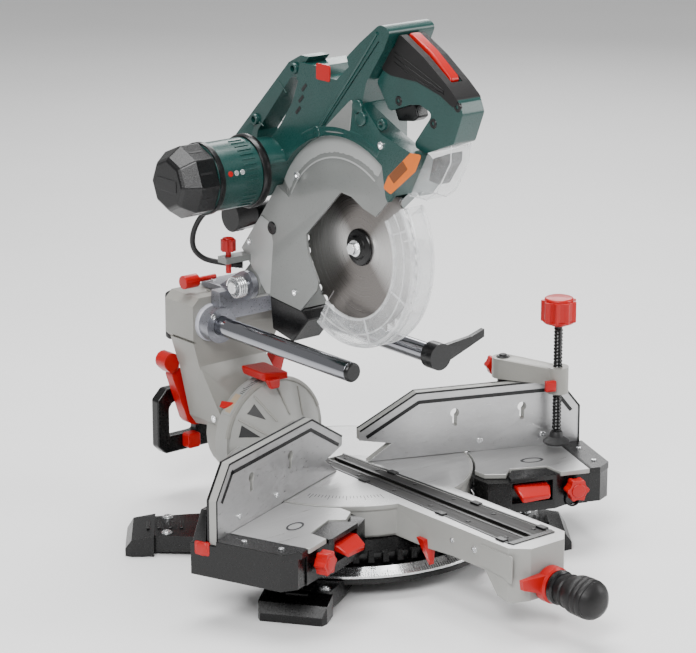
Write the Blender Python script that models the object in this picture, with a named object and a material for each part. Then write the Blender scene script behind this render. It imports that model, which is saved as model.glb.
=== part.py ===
"""A sliding mitre saw that stands on its own cast base with four splayed legs.

Metres, +Z up. The operator stands at -Y and the saw head is behind, at +Y. Shapes are
written about the turntable's axis, and the whole machine hangs from one empty that
moves the middle of its footprint box to the origin. Each moving body has an empty on
its joint's axis. The side tables are at their swung-forward position, the head is up
and the carriage is right back: every joint is at zero there.
"""

import math

import bmesh
import bpy
from mathutils import Vector

MM = 0.001
GAP = 0.3 * MM  # between neighbours that don't move against each other
RUN = 0.5 * MM  # between neighbours that do
EPS = 1.0 * MM  # how far a cutter passes the face that it cuts

# Heights and turntable
TABLE_Z = 104 * MM
TURNTABLE_R = 157 * MM
TURNTABLE_LOW = 62 * MM
BASE_TOP = 61.5 * MM
BASE_LOW = 20 * MM
BASE_R = 168 * MM
SCALE_R = 198 * MM
FOOT_X = 224 * MM
FOOT_Y = 168 * MM
FOOT_WIDTH = 84 * MM
ARM_HALF = 45 * MM
ARM_FRONT = 366 * MM
GRIP_FRONT = ARM_FRONT + 89 * MM
GRIP_Z = 57 * MM
SLOT_HALF = 8 * MM
WALL = 8 * MM  # the castings' thickness over their hollows
SLOT_FRONT = 322 * MM
PLATE_THICK = 4 * MM

# Side tables, as seen in their own frame: u outwards from the axis, v towards the front
SIDE_SWING = math.radians(21.5)
FENCE_INNER = 27 * MM
FENCE_OUTER = 313 * MM
FENCE_TOP = 190 * MM
FENCE_THICK = 12 * MM
SIDE_DEPTH = 106 * MM
PLATE_END = 283 * MM
STRIP_END = 316 * MM
BRACKET_LOW = 58 * MM
ROD_R = 5 * MM
ROD_LENGTH = 100 * MM

# Hold-down clamp, in the right side table's frame
POST_U = 216 * MM
POST_V = -26 * MM
POST_R = 7 * MM
CLAMP_U = 272 * MM
CLAMP_V = 22 * MM
CLAMP_ARM_Z = (180 * MM, 218 * MM)
SCREW_R = 6 * MM
SCREW_LOW = 128 * MM
SCREW_HIGH = 268 * MM

# Bevel joint and post
BEVEL_FACE = 175 * MM
BEVEL_R = 62 * MM
DOME_R = 78 * MM
BLOCK_FRONT = 202 * MM
BLOCK_REAR = 262 * MM
BLOCK_HALF = 90 * MM
BLOCK_Z = (226 * MM, 291 * MM)
LEVER_Y = (255 * MM, 274 * MM)

# Rails and carriage
RAIL_X = 62.4 * MM
RAIL_Z = 257 * MM
RAIL_R = 12.2 * MM
RAIL_FRONT = {-1: -82 * MM, 1: -95 * MM}
COLLAR_Y = (178 * MM, 200 * MM)
COLLAR_R = 23 * MM

# Head
PIVOT_Y = 160 * MM
PIVOT_Z = 310 * MM
PIN_R = 8 * MM
HUB_R = 19 * MM
ARBOR_Y = -25 * MM
ARBOR_Z = 391 * MM
BLADE_R = 108 * MM
BLADE_THICK = 2.4 * MM
FLANGE_R = 23 * MM
SHAFT_R = 7.5 * MM
GUARD_R = 141 * MM
GUARD_HOLLOW_R = 127 * MM
LOWER_GUARD_R = 123 * MM
MOTOR_Y = 117 * MM
MOTOR_Z = 471 * MM
MOTOR_R = 43 * MM
MOTOR_INNER = -60 * MM
MOTOR_SPLIT = -139 * MM
MOTOR_OUTER = -188 * MM
HEAD_LEFT = -31 * MM
HEAD_RIGHT = 40 * MM
BELT_X = (28 * MM, 36 * MM)
BIG_PULLEY_R = 22 * MM
SMALL_PULLEY_R = 13 * MM

REAR_END = 296 * MM  # the rear frame's back, the machine's rearmost face
FRAME_SHIFT = (GRIP_FRONT - REAR_END) / 2

COLOURS = {
    "cast_black": ((0.012, 0.012, 0.013), 0.35, 0.0),
    "machined": ((0.70, 0.70, 0.70), 0.35, 1.0),
    "painted_grey": ((0.42, 0.43, 0.40), 0.45, 0.0),
    "guard_grey": ((0.50, 0.50, 0.48), 0.4, 0.2),
    "green": ((0.020, 0.110, 0.085), 0.35, 0.0),
    "black_plastic": ((0.015, 0.015, 0.016), 0.5, 0.0),
    "rubber": ((0.05, 0.05, 0.052), 0.8, 0.0),
    "red": ((0.65, 0.03, 0.015), 0.35, 0.0),
    "chrome": ((0.80, 0.80, 0.82), 0.08, 1.0),
    "steel": ((0.55, 0.55, 0.56), 0.3, 1.0),
    "zinc": ((0.55, 0.56, 0.60), 0.4, 0.6),
    "clear": ((0.85, 0.87, 0.88), 0.1, 0.0),
    "copper": ((0.55, 0.22, 0.10), 0.35, 1.0),
}


def clear_scene():
    for obj in list(bpy.data.objects):
        bpy.data.objects.remove(obj, do_unlink=True)


def material(key):
    if key in bpy.data.materials:
        return bpy.data.materials[key]
    colour, roughness, metallic = COLOURS[key]
    mat = bpy.data.materials.new(key)
    mat.use_nodes = True
    shader = mat.node_tree.nodes["Principled BSDF"]
    shader.inputs["Base Color"].default_value = (*colour, 1.0)
    shader.inputs["Roughness"].default_value = roughness
    shader.inputs["Metallic"].default_value = metallic
    return mat


# ---------------------------------------------------------------- bodies
def body(name, parent=None, at=(0, 0, 0), turn_z=0.0):
    """An empty on a joint's axis. Its shapes are written in the frame it stands in."""
    empty = bpy.data.objects.new("axis_" + name, None)
    bpy.context.scene.collection.objects.link(empty)
    at = Vector(at)
    empty["frame_at"] = tuple(at) if not turn_z else (0.0, 0.0, 0.0)
    empty.parent = parent
    empty.location = at - Vector(parent["frame_at"]) if parent else at
    empty.rotation_euler = (0, 0, turn_z)
    return empty


def add(name, bm, colour, owner, smooth=35):
    """A closed mesh as an object of a body."""
    bmesh.ops.recalc_face_normals(bm, faces=bm.faces)
    mesh = bpy.data.meshes.new(name)
    bm.to_mesh(mesh)
    bm.free()
    mesh.materials.append(material(colour))
    mesh.shade_smooth()
    mesh.set_sharp_from_angle(angle=math.radians(smooth))
    obj = bpy.data.objects.new(name, mesh)
    bpy.context.scene.collection.objects.link(obj)
    obj.parent = owner
    obj.location = -Vector(owner["frame_at"])
    return obj


def tool(obj, bm, operation):
    """Joins a shape to an object, or cuts it out."""
    name = f"{obj.name}_{operation.lower()}_{len(obj.modifiers)}"
    shape = add(name, bm, "steel", obj.parent)
    shape.hide_render = True
    shape.display_type = "WIRE"
    modifier = obj.modifiers.new(name, "BOOLEAN")
    modifier.operation = operation
    modifier.object = shape
    return obj


def join(obj, *shapes):
    for bm in shapes:
        tool(obj, bm, "UNION")
    return obj


def cut(obj, *shapes):
    for bm in shapes:
        tool(obj, bm, "DIFFERENCE")
    return obj


# ---------------------------------------------------------------- shapes


def along(axis, a, b, t):
    """A point from two coordinates across an axis and one along it."""
    if axis == "X":
        return (t, a, b)
    if axis == "Y":
        return (a, t, b)
    return (a, b, t)


def prism(axis, outline, low, high):
    """An outline across an axis, extruded from low to high."""
    bm = bmesh.new()
    ends = [[bm.verts.new(along(axis, a, b, t)) for a, b in outline] for t in (low, high)]
    count = len(outline)
    bm.faces.new(ends[0])
    bm.faces.new(reversed(ends[1]))
    for i in range(count):
        j = (i + 1) % count
        bm.faces.new((ends[0][i], ends[0][j], ends[1][j], ends[1][i]))
    return bm


def hull(points):
    """The convex shape round some points."""
    bm = bmesh.new()
    for p in points:
        bm.verts.new(p)
    made = bmesh.ops.convex_hull(bm, input=bm.verts)
    loose = {v for v in made["geom_interior"] if isinstance(v, bmesh.types.BMVert)}
    bmesh.ops.delete(bm, geom=list(loose), context="VERTS")
    bmesh.ops.dissolve_limit(bm, angle_limit=math.radians(0.5), verts=bm.verts, edges=bm.edges)
    return bm


def box(low, high):
    return hull([(x, y, z) for x in (low[0], high[0]) for y in (low[1], high[1]) for z in (low[2], high[2])])


def turned(axis, centre, profile, steps=32, start=0.0, end=2 * math.pi):
    """A profile of (radius, place along the axis) turned about the axis at centre."""
    bm = bmesh.new()
    whole = abs(end - start - 2 * math.pi) < 1e-6
    count = steps if whole else steps + 1
    rings = []
    for radius, t in profile:
        if radius < 1e-7 and whole:
            rings.append([bm.verts.new(along(axis, centre[0], centre[1], t))] * count)
            continue
        ring = []
        for i in range(count):
            angle = start + (end - start) * i / steps
            a = centre[0] + radius * math.cos(angle)
            b = centre[1] + radius * math.sin(angle)
            ring.append(bm.verts.new(along(axis, a, b, t)))
        rings.append(ring)
    on_axis = profile[0][0] < 1e-7 and profile[-1][0] < 1e-7 and whole
    pairs = list(zip(rings, rings[1:])) + ([] if on_axis else [(rings[-1], rings[0])])
    for low, high in pairs:
        for i in range(steps):
            j = (i + 1) % count
            corners = []
            for v in (low[i], low[j], high[j], high[i]):
                if v not in corners:
                    corners.append(v)
            if len(corners) > 2:
                bm.faces.new(corners)
    if not whole:
        bm.faces.new([ring[0] for ring in rings])
        bm.faces.new([ring[-1] for ring in reversed(rings)])
    return bm


def rod(axis, centre, radius, low, high, steps=24):
    return turned(axis, centre, [(0, low), (radius, low), (radius, high), (0, high)], steps)


def sleeve(axis, centre, inner, outer, low, high, steps=32):
    profile = [(inner, low), (outer, low), (outer, high), (inner, high)]
    return turned(axis, centre, profile, steps)


def arc(centre, radius, start, end, steps):
    """Points on an arc, in degrees."""
    span = [math.radians(start + (end - start) * i / steps) for i in range(steps + 1)]
    return [(centre[0] + radius * math.cos(a), centre[1] + radius * math.sin(a)) for a in span]


def star(centre, radius, low, high, axis, lobes=6, dip=0.86):
    """A lobed knob."""
    outline = []
    for i in range(lobes * 4):
        angle = 2 * math.pi * i / (lobes * 4)
        r = radius * (1 if i % 4 in (0, 1) else dip)
        outline.append((centre[0] + r * math.cos(angle), centre[1] + r * math.sin(angle)))
    return prism(axis, outline, low, high)


def disc_points(axis, centre, radius, places, steps=16):
    return [
        along(axis, a, b, t)
        for t in places
        for a, b in arc(centre, radius, 0, 360 * (steps - 1) / steps, steps - 1)
    ]


def mm(*pairs):
    return [(a * MM, b * MM) for a, b in pairs]


# ---------------------------------------------------------------- base
def make_base(root):
    profile = [
        (0, BASE_LOW),
        (BASE_R, BASE_LOW),
        (BASE_R, BASE_TOP - 14 * MM),
        (BASE_R - 10 * MM, BASE_TOP),
        (0, BASE_TOP),
    ]
    base = add("base_casting", turned("Z", (0, 0), profile, 48), "cast_black", root)
    ledge = [
        (BASE_R - 8 * MM, BASE_LOW),
        (SCALE_R, BASE_LOW),
        (SCALE_R, BASE_LOW + 6 * MM),
        (SCALE_R - 12 * MM, BASE_LOW + 14 * MM),
        (BASE_R - 8 * MM, BASE_LOW + 14 * MM),
    ]
    join(base, turned("Z", (0, 0), ledge, 24, math.radians(-158), math.radians(-22)))
    for sx in (-1, 1):
        for sy in (-1, 1):
            out = Vector((sx * FOOT_X, sy * FOOT_Y, 0))
            reach = out.length
            out.normalize()
            across = Vector((-out.y, out.x, 0))
            half = FOOT_WIDTH / 2
            stations = [
                (reach, half * 0.9, 0, 10 * MM),
                (reach - 8 * MM, half, 0, 22 * MM),
                (reach - 36 * MM, half, 0, 27 * MM),
            ]
            thigh = [
                (reach - 30 * MM, half * 0.8, 3 * MM, 26 * MM),
                (SCALE_R, half, 6 * MM, 26 * MM),
                (BASE_R - 30 * MM, half * 1.1, 8 * MM, 26 * MM),
            ]
            for part in (stations, thigh):
                points = [
                    out * r + across * (side * w) + Vector((0, 0, z))
                    for r, w, low, high in part
                    for side in (-1, 1)
                    for z in (low, high)
                ]
                join(base, hull(points))
    hollow = BASE_R - WALL
    cut(base, rod("Z", (0, 0), hollow, BASE_LOW - 20 * MM, BASE_TOP - WALL, 40))
    band = [
        (SCALE_R + GAP, BASE_LOW + 7 * MM),
        (SCALE_R + GAP, BASE_LOW + 10 * MM),
        (SCALE_R - 12 * MM, BASE_LOW + 18 * MM),
        (SCALE_R - 12 * MM, BASE_LOW + 15 * MM),
    ]
    add("scale_ring", turned("Z", (0, 0), band, 30, math.radians(-150), math.radians(-30)), "steel", root)


# ---------------------------------------------------------------- turntable
def make_turntable(table):
    r = TURNTABLE_R
    profile = [(0, TURNTABLE_LOW), (r - 5 * MM, TURNTABLE_LOW), (r - 2 * MM, TURNTABLE_LOW + 4 * MM)]
    profile += [(r - 2 * MM, TABLE_Z - 8 * MM), (r, TABLE_Z - 5 * MM), (r, TABLE_Z), (0, TABLE_Z)]
    top = add("turntable", turned("Z", (0, 0), profile, 56), "machined", table)
    front = -ARM_FRONT
    side = mm((-100, 104), (-100, 62.5), (-205, 62.5), (-250, 66), (-308, 66), (-330, 40), (-352, 36))
    side += [(front, 40 * MM), (front, TABLE_Z)]
    join(top, prism("X", side, -ARM_HALF, ARM_HALF))
    chamfer = 20 * MM
    for s in (-1, 1):
        corner = [
            (s * (ARM_HALF + EPS), front + chamfer),
            (s * (ARM_HALF - chamfer), front - EPS),
            (s * (ARM_HALF + EPS), front - EPS),
        ]
        cut(top, prism("Z", corner, 0, TABLE_Z + EPS))
    dome = arc((0, TABLE_Z), DOME_R, -25, 205, 22)
    dome += [(-DOME_R * 0.9, TURNTABLE_LOW), (DOME_R * 0.9, TURNTABLE_LOW)]
    join(top, prism("Y", dome, 150 * MM, BEVEL_FACE - RUN))
    brow = disc_points("Y", (0, TABLE_Z), DOME_R - 4 * MM, (150 * MM, 158 * MM), 24)
    brow += disc_points("Y", (0, TABLE_Z - 6 * MM), 36 * MM, (112 * MM,), 12)
    join(top, hull([p for p in brow if p[2] > TURNTABLE_LOW + 8 * MM]))
    recess = mm((-31.5, -334), (31.5, -334), (18.5, 34), (-18.5, 34))
    cut(top, prism("Z", recess, TABLE_Z - PLATE_THICK - GAP, TABLE_Z + EPS))
    slot = [(-SLOT_HALF, -SLOT_FRONT), (SLOT_HALF, -SLOT_FRONT), (SLOT_HALF, 26 * MM), (-SLOT_HALF, 26 * MM)]
    cut(top, prism("Z", slot, TABLE_Z - 24 * MM, TABLE_Z + EPS))
    for s in (-1, 1):
        near = SLOT_HALF + WALL
        pocket = [(near, -118 * MM), (near, 112 * MM)] + arc((0, 0), TURNTABLE_R - 14 * MM, 48, -46, 10)
        pocket = [(s * x, y) for x, y in pocket]
        cut(top, prism("Z", pocket, TURNTABLE_LOW - EPS, TABLE_Z - PLATE_THICK - WALL))
        trough = [(s * near, -304 * MM), (s * (ARM_HALF - WALL), -304 * MM)]
        trough += [(s * (ARM_HALF - WALL), -170 * MM), (s * near, -170 * MM)]
        cut(top, prism("Z", trough, 20 * MM, TABLE_Z - PLATE_THICK - WALL))
    for s, name in ((-1, "kerf_plate_left"), (1, "kerf_plate_right")):
        outline = mm((s * 5, -333), (s * 31, -333), (s * 18, 33), (s * 5, 33))
        add(name, prism("Z", outline, TABLE_Z - PLATE_THICK, TABLE_Z - 0.2 * MM), "black_plastic", table)


def make_front_controls(table):
    grip = body("mitre_grip", table, (0, -ARM_FRONT, GRIP_Z))
    front = -GRIP_FRONT
    profile = [
        (0, -ARM_FRONT - 18 * MM),
        (17 * MM, -ARM_FRONT - 18 * MM),
        (18 * MM, -ARM_FRONT - 34 * MM),
        (24 * MM, -ARM_FRONT - 52 * MM),
        (24.5 * MM, front + 18 * MM),
        (19 * MM, front + 5 * MM),
        (11 * MM, front),
        (0, front),
    ]
    knob = add("mitre_grip", turned("Y", (0, GRIP_Z), profile, 24), "rubber", grip, 60)
    join(knob, rod("Y", (0, GRIP_Z), 7 * MM, -ARM_FRONT - 20 * MM, -ARM_FRONT - 0.6 * MM, 16))
    lever = body("detent_lever", table, (0, -ARM_FRONT, GRIP_Z))
    ring = sleeve("Y", (0, GRIP_Z), 7.6 * MM, 22 * MM, -ARM_FRONT - 17.4 * MM, -ARM_FRONT - 1 * MM, 24)
    collar = add("detent_lever", ring, "red", lever)
    tab = [
        (x * MM, y * MM - ARM_FRONT, z * MM + GRIP_Z)
        for x, y, z in (
            (-12, -3, 16), (-12, -15, 16), (-18, -3, -6), (-18, -15, -6),
            (-46, -2, 14), (-46, -8, 14), (-44, -2, 2), (-44, -8, 2),
        )
    ]
    join(collar, hull(tab))


def make_rear_frame(post):
    """The black loop behind the bevel joint, on a stub from the post."""
    outline = mm((-92, 72), (-80, 61), (-8, 61), (-8, 150), (-78, 150), (-92, 136))
    frame = add("rear_frame", prism("Y", outline, REAR_END - 16 * MM, REAR_END), "cast_black", post)
    hole = mm((-74, 84), (-30, 84), (-30, 130), (-66, 130), (-74, 122))
    cut(frame, prism("Y", hole, REAR_END - 20 * MM, REAR_END + EPS))
    join(frame, box((-24 * MM, 251 * MM + GAP, 110 * MM), (-2 * MM, REAR_END - 6 * MM, 144 * MM)))


# ---------------------------------------------------------------- side tables
def make_side(machine, s, label):
    """One side table: s is +1 for the right and -1 for the left."""
    side = body("side_" + label, machine, (0, 0, 0), -s * SIDE_SWING)

    def plan(points):
        return [(s * u, -v) for u, v in points]

    def wall(points):
        return [(s * u, z) for u, z in points]

    inner = arc((0, 0), TURNTABLE_R + 3 * MM, 0.2, 26, 6)
    edge = mm((150, 88), (176, 96), (187, 78), (236, 82), (244, 108))
    plate = inner + edge + [(PLATE_END, SIDE_DEPTH + 2 * MM), (PLATE_END, GAP)]
    add("table_plate_" + label, prism("Z", plan(plate), TABLE_Z - 6 * MM, TABLE_Z), "machined", side)

    # the bracket under it, with the bores of the extension's two rods
    deep = arc((0, 0), TURNTABLE_R + 4 * MM, -6, 30, 7)
    deep += mm((148, 106), (176, 112), (236, 112), (252, 104))
    back = -FENCE_THICK - 10 * MM
    deep += [(PLATE_END - RUN, 104 * MM), (PLATE_END - RUN, back), (200 * MM, back)]
    under = TABLE_Z - 6 * MM - GAP
    bracket = add("table_bracket_" + label, prism("Z", plan(deep), BRACKET_LOW, under), "cast_black", side)
    boss = disc_points("Z", (s * POST_U, -POST_V), 14 * MM, (BRACKET_LOW, under), 14)
    boss += [(s * u * MM, y * MM, z) for u, y in ((190, 20), (240, 20)) for z in (BRACKET_LOW, under)]
    join(bracket, hull(boss))
    surround = mm((178, 98), (189, 80), (234, 84), (242, 110), (236, 112), (176, 112))
    join(bracket, prism("Z", plan(surround), under - 2 * MM, TABLE_Z - 1.5 * MM))
    cut(bracket, rod("Z", (s * POST_U, -POST_V), POST_R + 0.2 * MM, BRACKET_LOW - EPS, under + EPS, 24))
    pocket = [(s * u * MM, -v * MM, z * MM) for u in (178, 232) for v in (100, 114) for z in (70, 96.5)]
    cut(bracket, hull(pocket))
    for v in (26 * MM, 72 * MM):
        low, high = sorted((s * (PLATE_END - ROD_LENGTH - 4 * MM), s * (PLATE_END + EPS)))
        cut(bracket, rod("X", (-v, 78 * MM), ROD_R + 0.3 * MM, low, high, 16))

    # fence
    bottom = TABLE_Z + 0.8 * MM
    outline = [
        (FENCE_INNER, bottom), (58 * MM, 126 * MM), (15 * MM, 134 * MM), (15 * MM, 147 * MM),
        (90 * MM, FENCE_TOP), (FENCE_OUTER - 30 * MM, FENCE_TOP), (FENCE_OUTER, 152 * MM),
        (FENCE_OUTER, under + GAP), (164 * MM, under + GAP), (164 * MM, bottom),
    ]
    fence = add("fence_" + label, prism("Y", wall(outline), 0, FENCE_THICK), "machined", side)
    for u in (142 * MM, 233 * MM):
        cut(fence, rod("Y", (s * u, 158 * MM), 6 * MM, -EPS, FENCE_THICK + EPS, 16))
        cut(fence, box((s * u - 3 * MM, -EPS, 141 * MM), (s * u + 3 * MM, FENCE_THICK + EPS, 157 * MM)))

    # extension that slides outwards on two rods
    slider = body("extension_" + label, side, (s * PLATE_END, 0, 78 * MM))
    strip = mm((283.5, 1), (316, 1), (316, 90), (298, 106), (283.5, 106))
    block = mm((283.5, -34), (316, -34), (316, 88), (300, 102), (283.5, 102))
    ext = add("extension_" + label, prism("Z", plan(block), BRACKET_LOW, under), "cast_black", slider)
    join(ext, prism("Z", plan(strip), under - 2 * MM, TABLE_Z))
    tower = [(s * u * MM, y * MM, z * MM) for u, y, z in
             ((286, 13.2, 90), (316, 13.2, 90), (286, 34, 90), (316, 34, 90),
              (292, 13.2, 140), (314, 13.2, 140), (292, 20, 140), (314, 20, 140))]
    join(ext, hull(tower))
    for v in (26 * MM, 72 * MM):
        low, high = sorted((s * (PLATE_END + 4 * MM), s * (PLATE_END - ROD_LENGTH)))
        join(ext, rod("X", (-v, 78 * MM), ROD_R, low, high, 16))

    # star knob that locks the extension, and the lever that locks the side table
    knob_at = (s * 262 * MM, -112 * MM, 82 * MM)
    knob = body("extension_knob_" + label, side, knob_at)
    knob_at = (knob_at[0], knob_at[2])
    star_knob = star(knob_at, 15 * MM, -124 * MM, -108 * MM, "Y")
    star_knob = add("extension_knob_" + label, star_knob, "red", knob)
    join(star_knob, rod("Y", knob_at, 5 * MM, -109 * MM, -104.6 * MM, 16))
    pin_at = (s * 205 * MM, -103 * MM, 91 * MM)
    lock = body("lock_lever_" + label, side, pin_at)
    lever = [(s * u * MM, y * MM, z * MM) for u, y, z in (
        (182, -101.5, 92), (228, -101.5, 92), (182, -114, 92), (228, -114, 90), (184, -101.5, 84),
        (226, -101.5, 84), (186, -128, 82), (224, -126, 82), (186, -127, 75), (224, -125, 77))]
    add("lock_lever_" + label, hull(lever), "red", lock)
    return side


def make_clamp(side):
    """The hold-down clamp on the right side table."""
    post = body("clamp_post", side, (POST_U, -POST_V, TABLE_Z))
    low, high = CLAMP_ARM_Z
    shape = rod("Z", (POST_U, -POST_V), POST_R, BRACKET_LOW + 2 * MM, high + 2 * MM, 20)
    add("clamp_post", shape, "black_plastic", post)
    arm = body("clamp_arm", post, (POST_U, -POST_V, low))
    over = FENCE_TOP + 2 * MM
    points = disc_points("Z", (POST_U, -POST_V), 14 * MM, (over, high), 14)
    points += disc_points("Z", (CLAMP_U, -CLAMP_V), 12 * MM, (over, high - 6 * MM), 14)
    shape = add("clamp_arm", hull(points), "zinc", arm)
    join(shape, rod("Z", (CLAMP_U, -CLAMP_V), 14 * MM, low, high - 4 * MM, 24))
    cut(shape, rod("Z", (POST_U, -POST_V), POST_R + 0.2 * MM, low - EPS, high + EPS, 20))
    cut(shape, rod("Z", (CLAMP_U, -CLAMP_V), SCREW_R + 0.2 * MM, low - EPS, high + EPS, 20))
    lock = body("clamp_arm_knob", arm, (POST_U, -POST_V, (low + high) / 2))
    lock_at = (POST_U, (low + high) / 2)
    knob = star(lock_at, 13 * MM, -POST_V + 22 * MM, -POST_V + 36 * MM, "Y")
    knob = add("clamp_arm_knob", knob, "red", lock)
    join(knob, rod("Y", lock_at, 4 * MM, -POST_V + 15.6 * MM, -POST_V + 23 * MM, 12))
    feed = body("clamp_feed", arm, (CLAMP_U, -CLAMP_V, SCREW_LOW))
    centre = (CLAMP_U, -CLAMP_V)
    profile = [
        (0, TABLE_Z + 8 * MM), (17 * MM, TABLE_Z + 8 * MM), (17 * MM, TABLE_Z + 11 * MM),
        (9 * MM, SCREW_LOW - 6 * MM), (7 * MM, SCREW_LOW), (0, SCREW_LOW),
    ]
    add("clamp_pad", turned("Z", centre, profile, 24), "rubber", feed)
    turn = body("clamp_screw", feed, (CLAMP_U, -CLAMP_V, SCREW_LOW))
    add("clamp_screw", rod("Z", centre, SCREW_R, SCREW_LOW + GAP, SCREW_HIGH, 20), "black_plastic", turn)
    head = star(centre, 23 * MM, SCREW_HIGH + 4 * MM, SCREW_HIGH + 37 * MM, "Z", 8, 0.93)
    knob = add("clamp_knob", head, "red", turn)
    join(knob, rod("Z", centre, 10 * MM, SCREW_HIGH + GAP, SCREW_HIGH + 5 * MM, 20))


# ---------------------------------------------------------------- bevel post and rails
def make_post(post):
    disc = rod("Y", (0, TABLE_Z), BEVEL_R, BEVEL_FACE, BEVEL_FACE + 40 * MM, 32)
    casting = add("bevel_post", disc, "painted_grey", post)
    neck = [(x * MM, y * MM, z * MM) for x, y, z in (
        (-60, 176, 120), (56, 176, 120), (-60, 214, 120), (56, 214, 120),
        (-40, 176, 150), (36, 176, 150),
        (-80, 202, 200), (26, 202, 200), (-80, 250, 200), (26, 250, 200),
        (-62, 251, 120), (30, 251, 120), (-52, 251, 106), (30, 251, 106))]
    join(casting, hull(neck))
    shoulder = [(x * MM, y * MM, z * MM) for x, y, z in (
        (-80, 202, 196), (26, 202, 196), (-80, 250, 196), (26, 250, 196))]
    shoulder += [(x, y, BLOCK_Z[0] + 6 * MM) for x in (-BLOCK_HALF, 48 * MM) for y in (BLOCK_FRONT, 252 * MM)]
    join(casting, hull(shoulder))
    low, high = BLOCK_Z
    c = 10 * MM
    outline = [
        (-BLOCK_HALF, low + c), (-BLOCK_HALF + c, low), (BLOCK_HALF - c, low), (BLOCK_HALF, low + c),
        (BLOCK_HALF, high - c), (BLOCK_HALF - c, high), (-BLOCK_HALF + c, high), (-BLOCK_HALF, high - c),
    ]
    join(casting, prism("Y", outline, BLOCK_FRONT, BLOCK_REAR))
    for s in (-1, 1):
        cut(casting, rod("Y", (s * RAIL_X, RAIL_Z), RAIL_R + GAP, BLOCK_FRONT - EPS, BLOCK_REAR - 3 * MM, 28))
    cut(casting, rod("X", (225 * MM, 298 * MM), 9 * MM, -BLOCK_HALF - EPS, -48 * MM, 16))
    cover = [(x * MM, y * MM, z * MM) for x in (-84, 60) for y, z in (
        (262.4, 226), (262.4, 290), (274, 232), (274, 284), (262.4, 222), (274, 223))]
    add("rear_cover", hull(cover), "black_plastic", post)
    for s, label in ((-1, "left"), (1, "right")):
        shape = rod("Y", (s * RAIL_X, RAIL_Z), RAIL_R, RAIL_FRONT[s], BLOCK_REAR - 4 * MM, 32)
        add("rail_" + label, shape, "chrome", post)
    front = RAIL_FRONT[-1]
    centre = (-RAIL_X, RAIL_Z)
    profile = [
        (0, front - GAP), (RAIL_R, front - GAP), (RAIL_R, front - 3 * MM),
        (RAIL_R - 2 * MM, front - 5 * MM), (0, front - 5 * MM),
    ]
    add("rail_cap", turned("Y", centre, profile, 32), "black_plastic", post)

    # lever on the end of the right rail
    lever = body("rail_lever", post, (RAIL_X, RAIL_FRONT[1], RAIL_Z))
    front = RAIL_FRONT[1]
    bore = RAIL_R + RUN
    profile = [
        (0, front - 9 * MM), (17 * MM, front - 9 * MM), (17 * MM, front + 10 * MM),
        (bore, front + 10 * MM), (bore, front - RUN), (0, front - RUN),
    ]
    clamp = add("rail_lever", turned("Y", (RAIL_X, RAIL_Z), profile, 28), "black_plastic", lever)
    near = mm((66, 246), (66, 270), (112, 274), (112, 262))
    far = mm((106, 272), (106, 260), (134, 280), (134, 270))
    for side in (near, far):
        join(clamp, hull([(x, y * MM, z) for x, z in side for y in (-103.5, -97)]))


def lever_arm(start, end, wide, narrow, low, high):
    """A tapered lever across Y, between two round ends."""
    points = disc_points("Y", start, wide, (low, high), 14)
    points += disc_points("Y", end, narrow, (low + 2 * MM, high - 2 * MM), 14)
    return hull(points)


def make_post_levers(post):
    # red lever that clamps the bevel
    low, high = LEVER_Y
    hub = (-48 * MM, 118 * MM)
    clamp = body("bevel_lever", post, (hub[0], low, hub[1]))
    stem = rod("Y", hub, 6 * MM, low - 3 * MM, low + 2 * MM, 16)
    lever = add("bevel_lever", lever_arm(hub, (-76 * MM, 176 * MM), 16 * MM, 9 * MM, low, high), "red", clamp)
    tip = disc_points("Y", (-87 * MM, 195 * MM), 12 * MM, (low - 1 * MM, high + 1 * MM), 14)
    tip += disc_points("Y", (-83 * MM, 187 * MM), 9 * MM, (low + 1 * MM, high - 1 * MM), 14)
    join(lever, stem, hull(tip))
    # red lever on the right that locks the slide
    hub = (66 * MM, 142 * MM)
    lock = body("slide_lever", post, (hub[0], low, hub[1]))
    bar = lever_arm(hub, (88 * MM, 190 * MM), 12 * MM, 7 * MM, low - 14 * MM, high - 14 * MM)
    add("slide_lever", bar, "red", lock)
    # red latch on top of the bevel joint
    latch = body("bevel_latch", post, (0, BEVEL_FACE + 4 * MM, 182 * MM))
    points = [(x * MM, y * MM, z * MM) for x, y, z in (
        (-36, 128, 200), (-36, 175.5, 200), (-32, 130, 187), (-32, 175.5, 187),
        (2, 122, 196), (2, 175.5, 198), (4, 124, 186.5), (4, 175.5, 186.5))]
    add("bevel_latch", hull(points), "red", latch)


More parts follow.
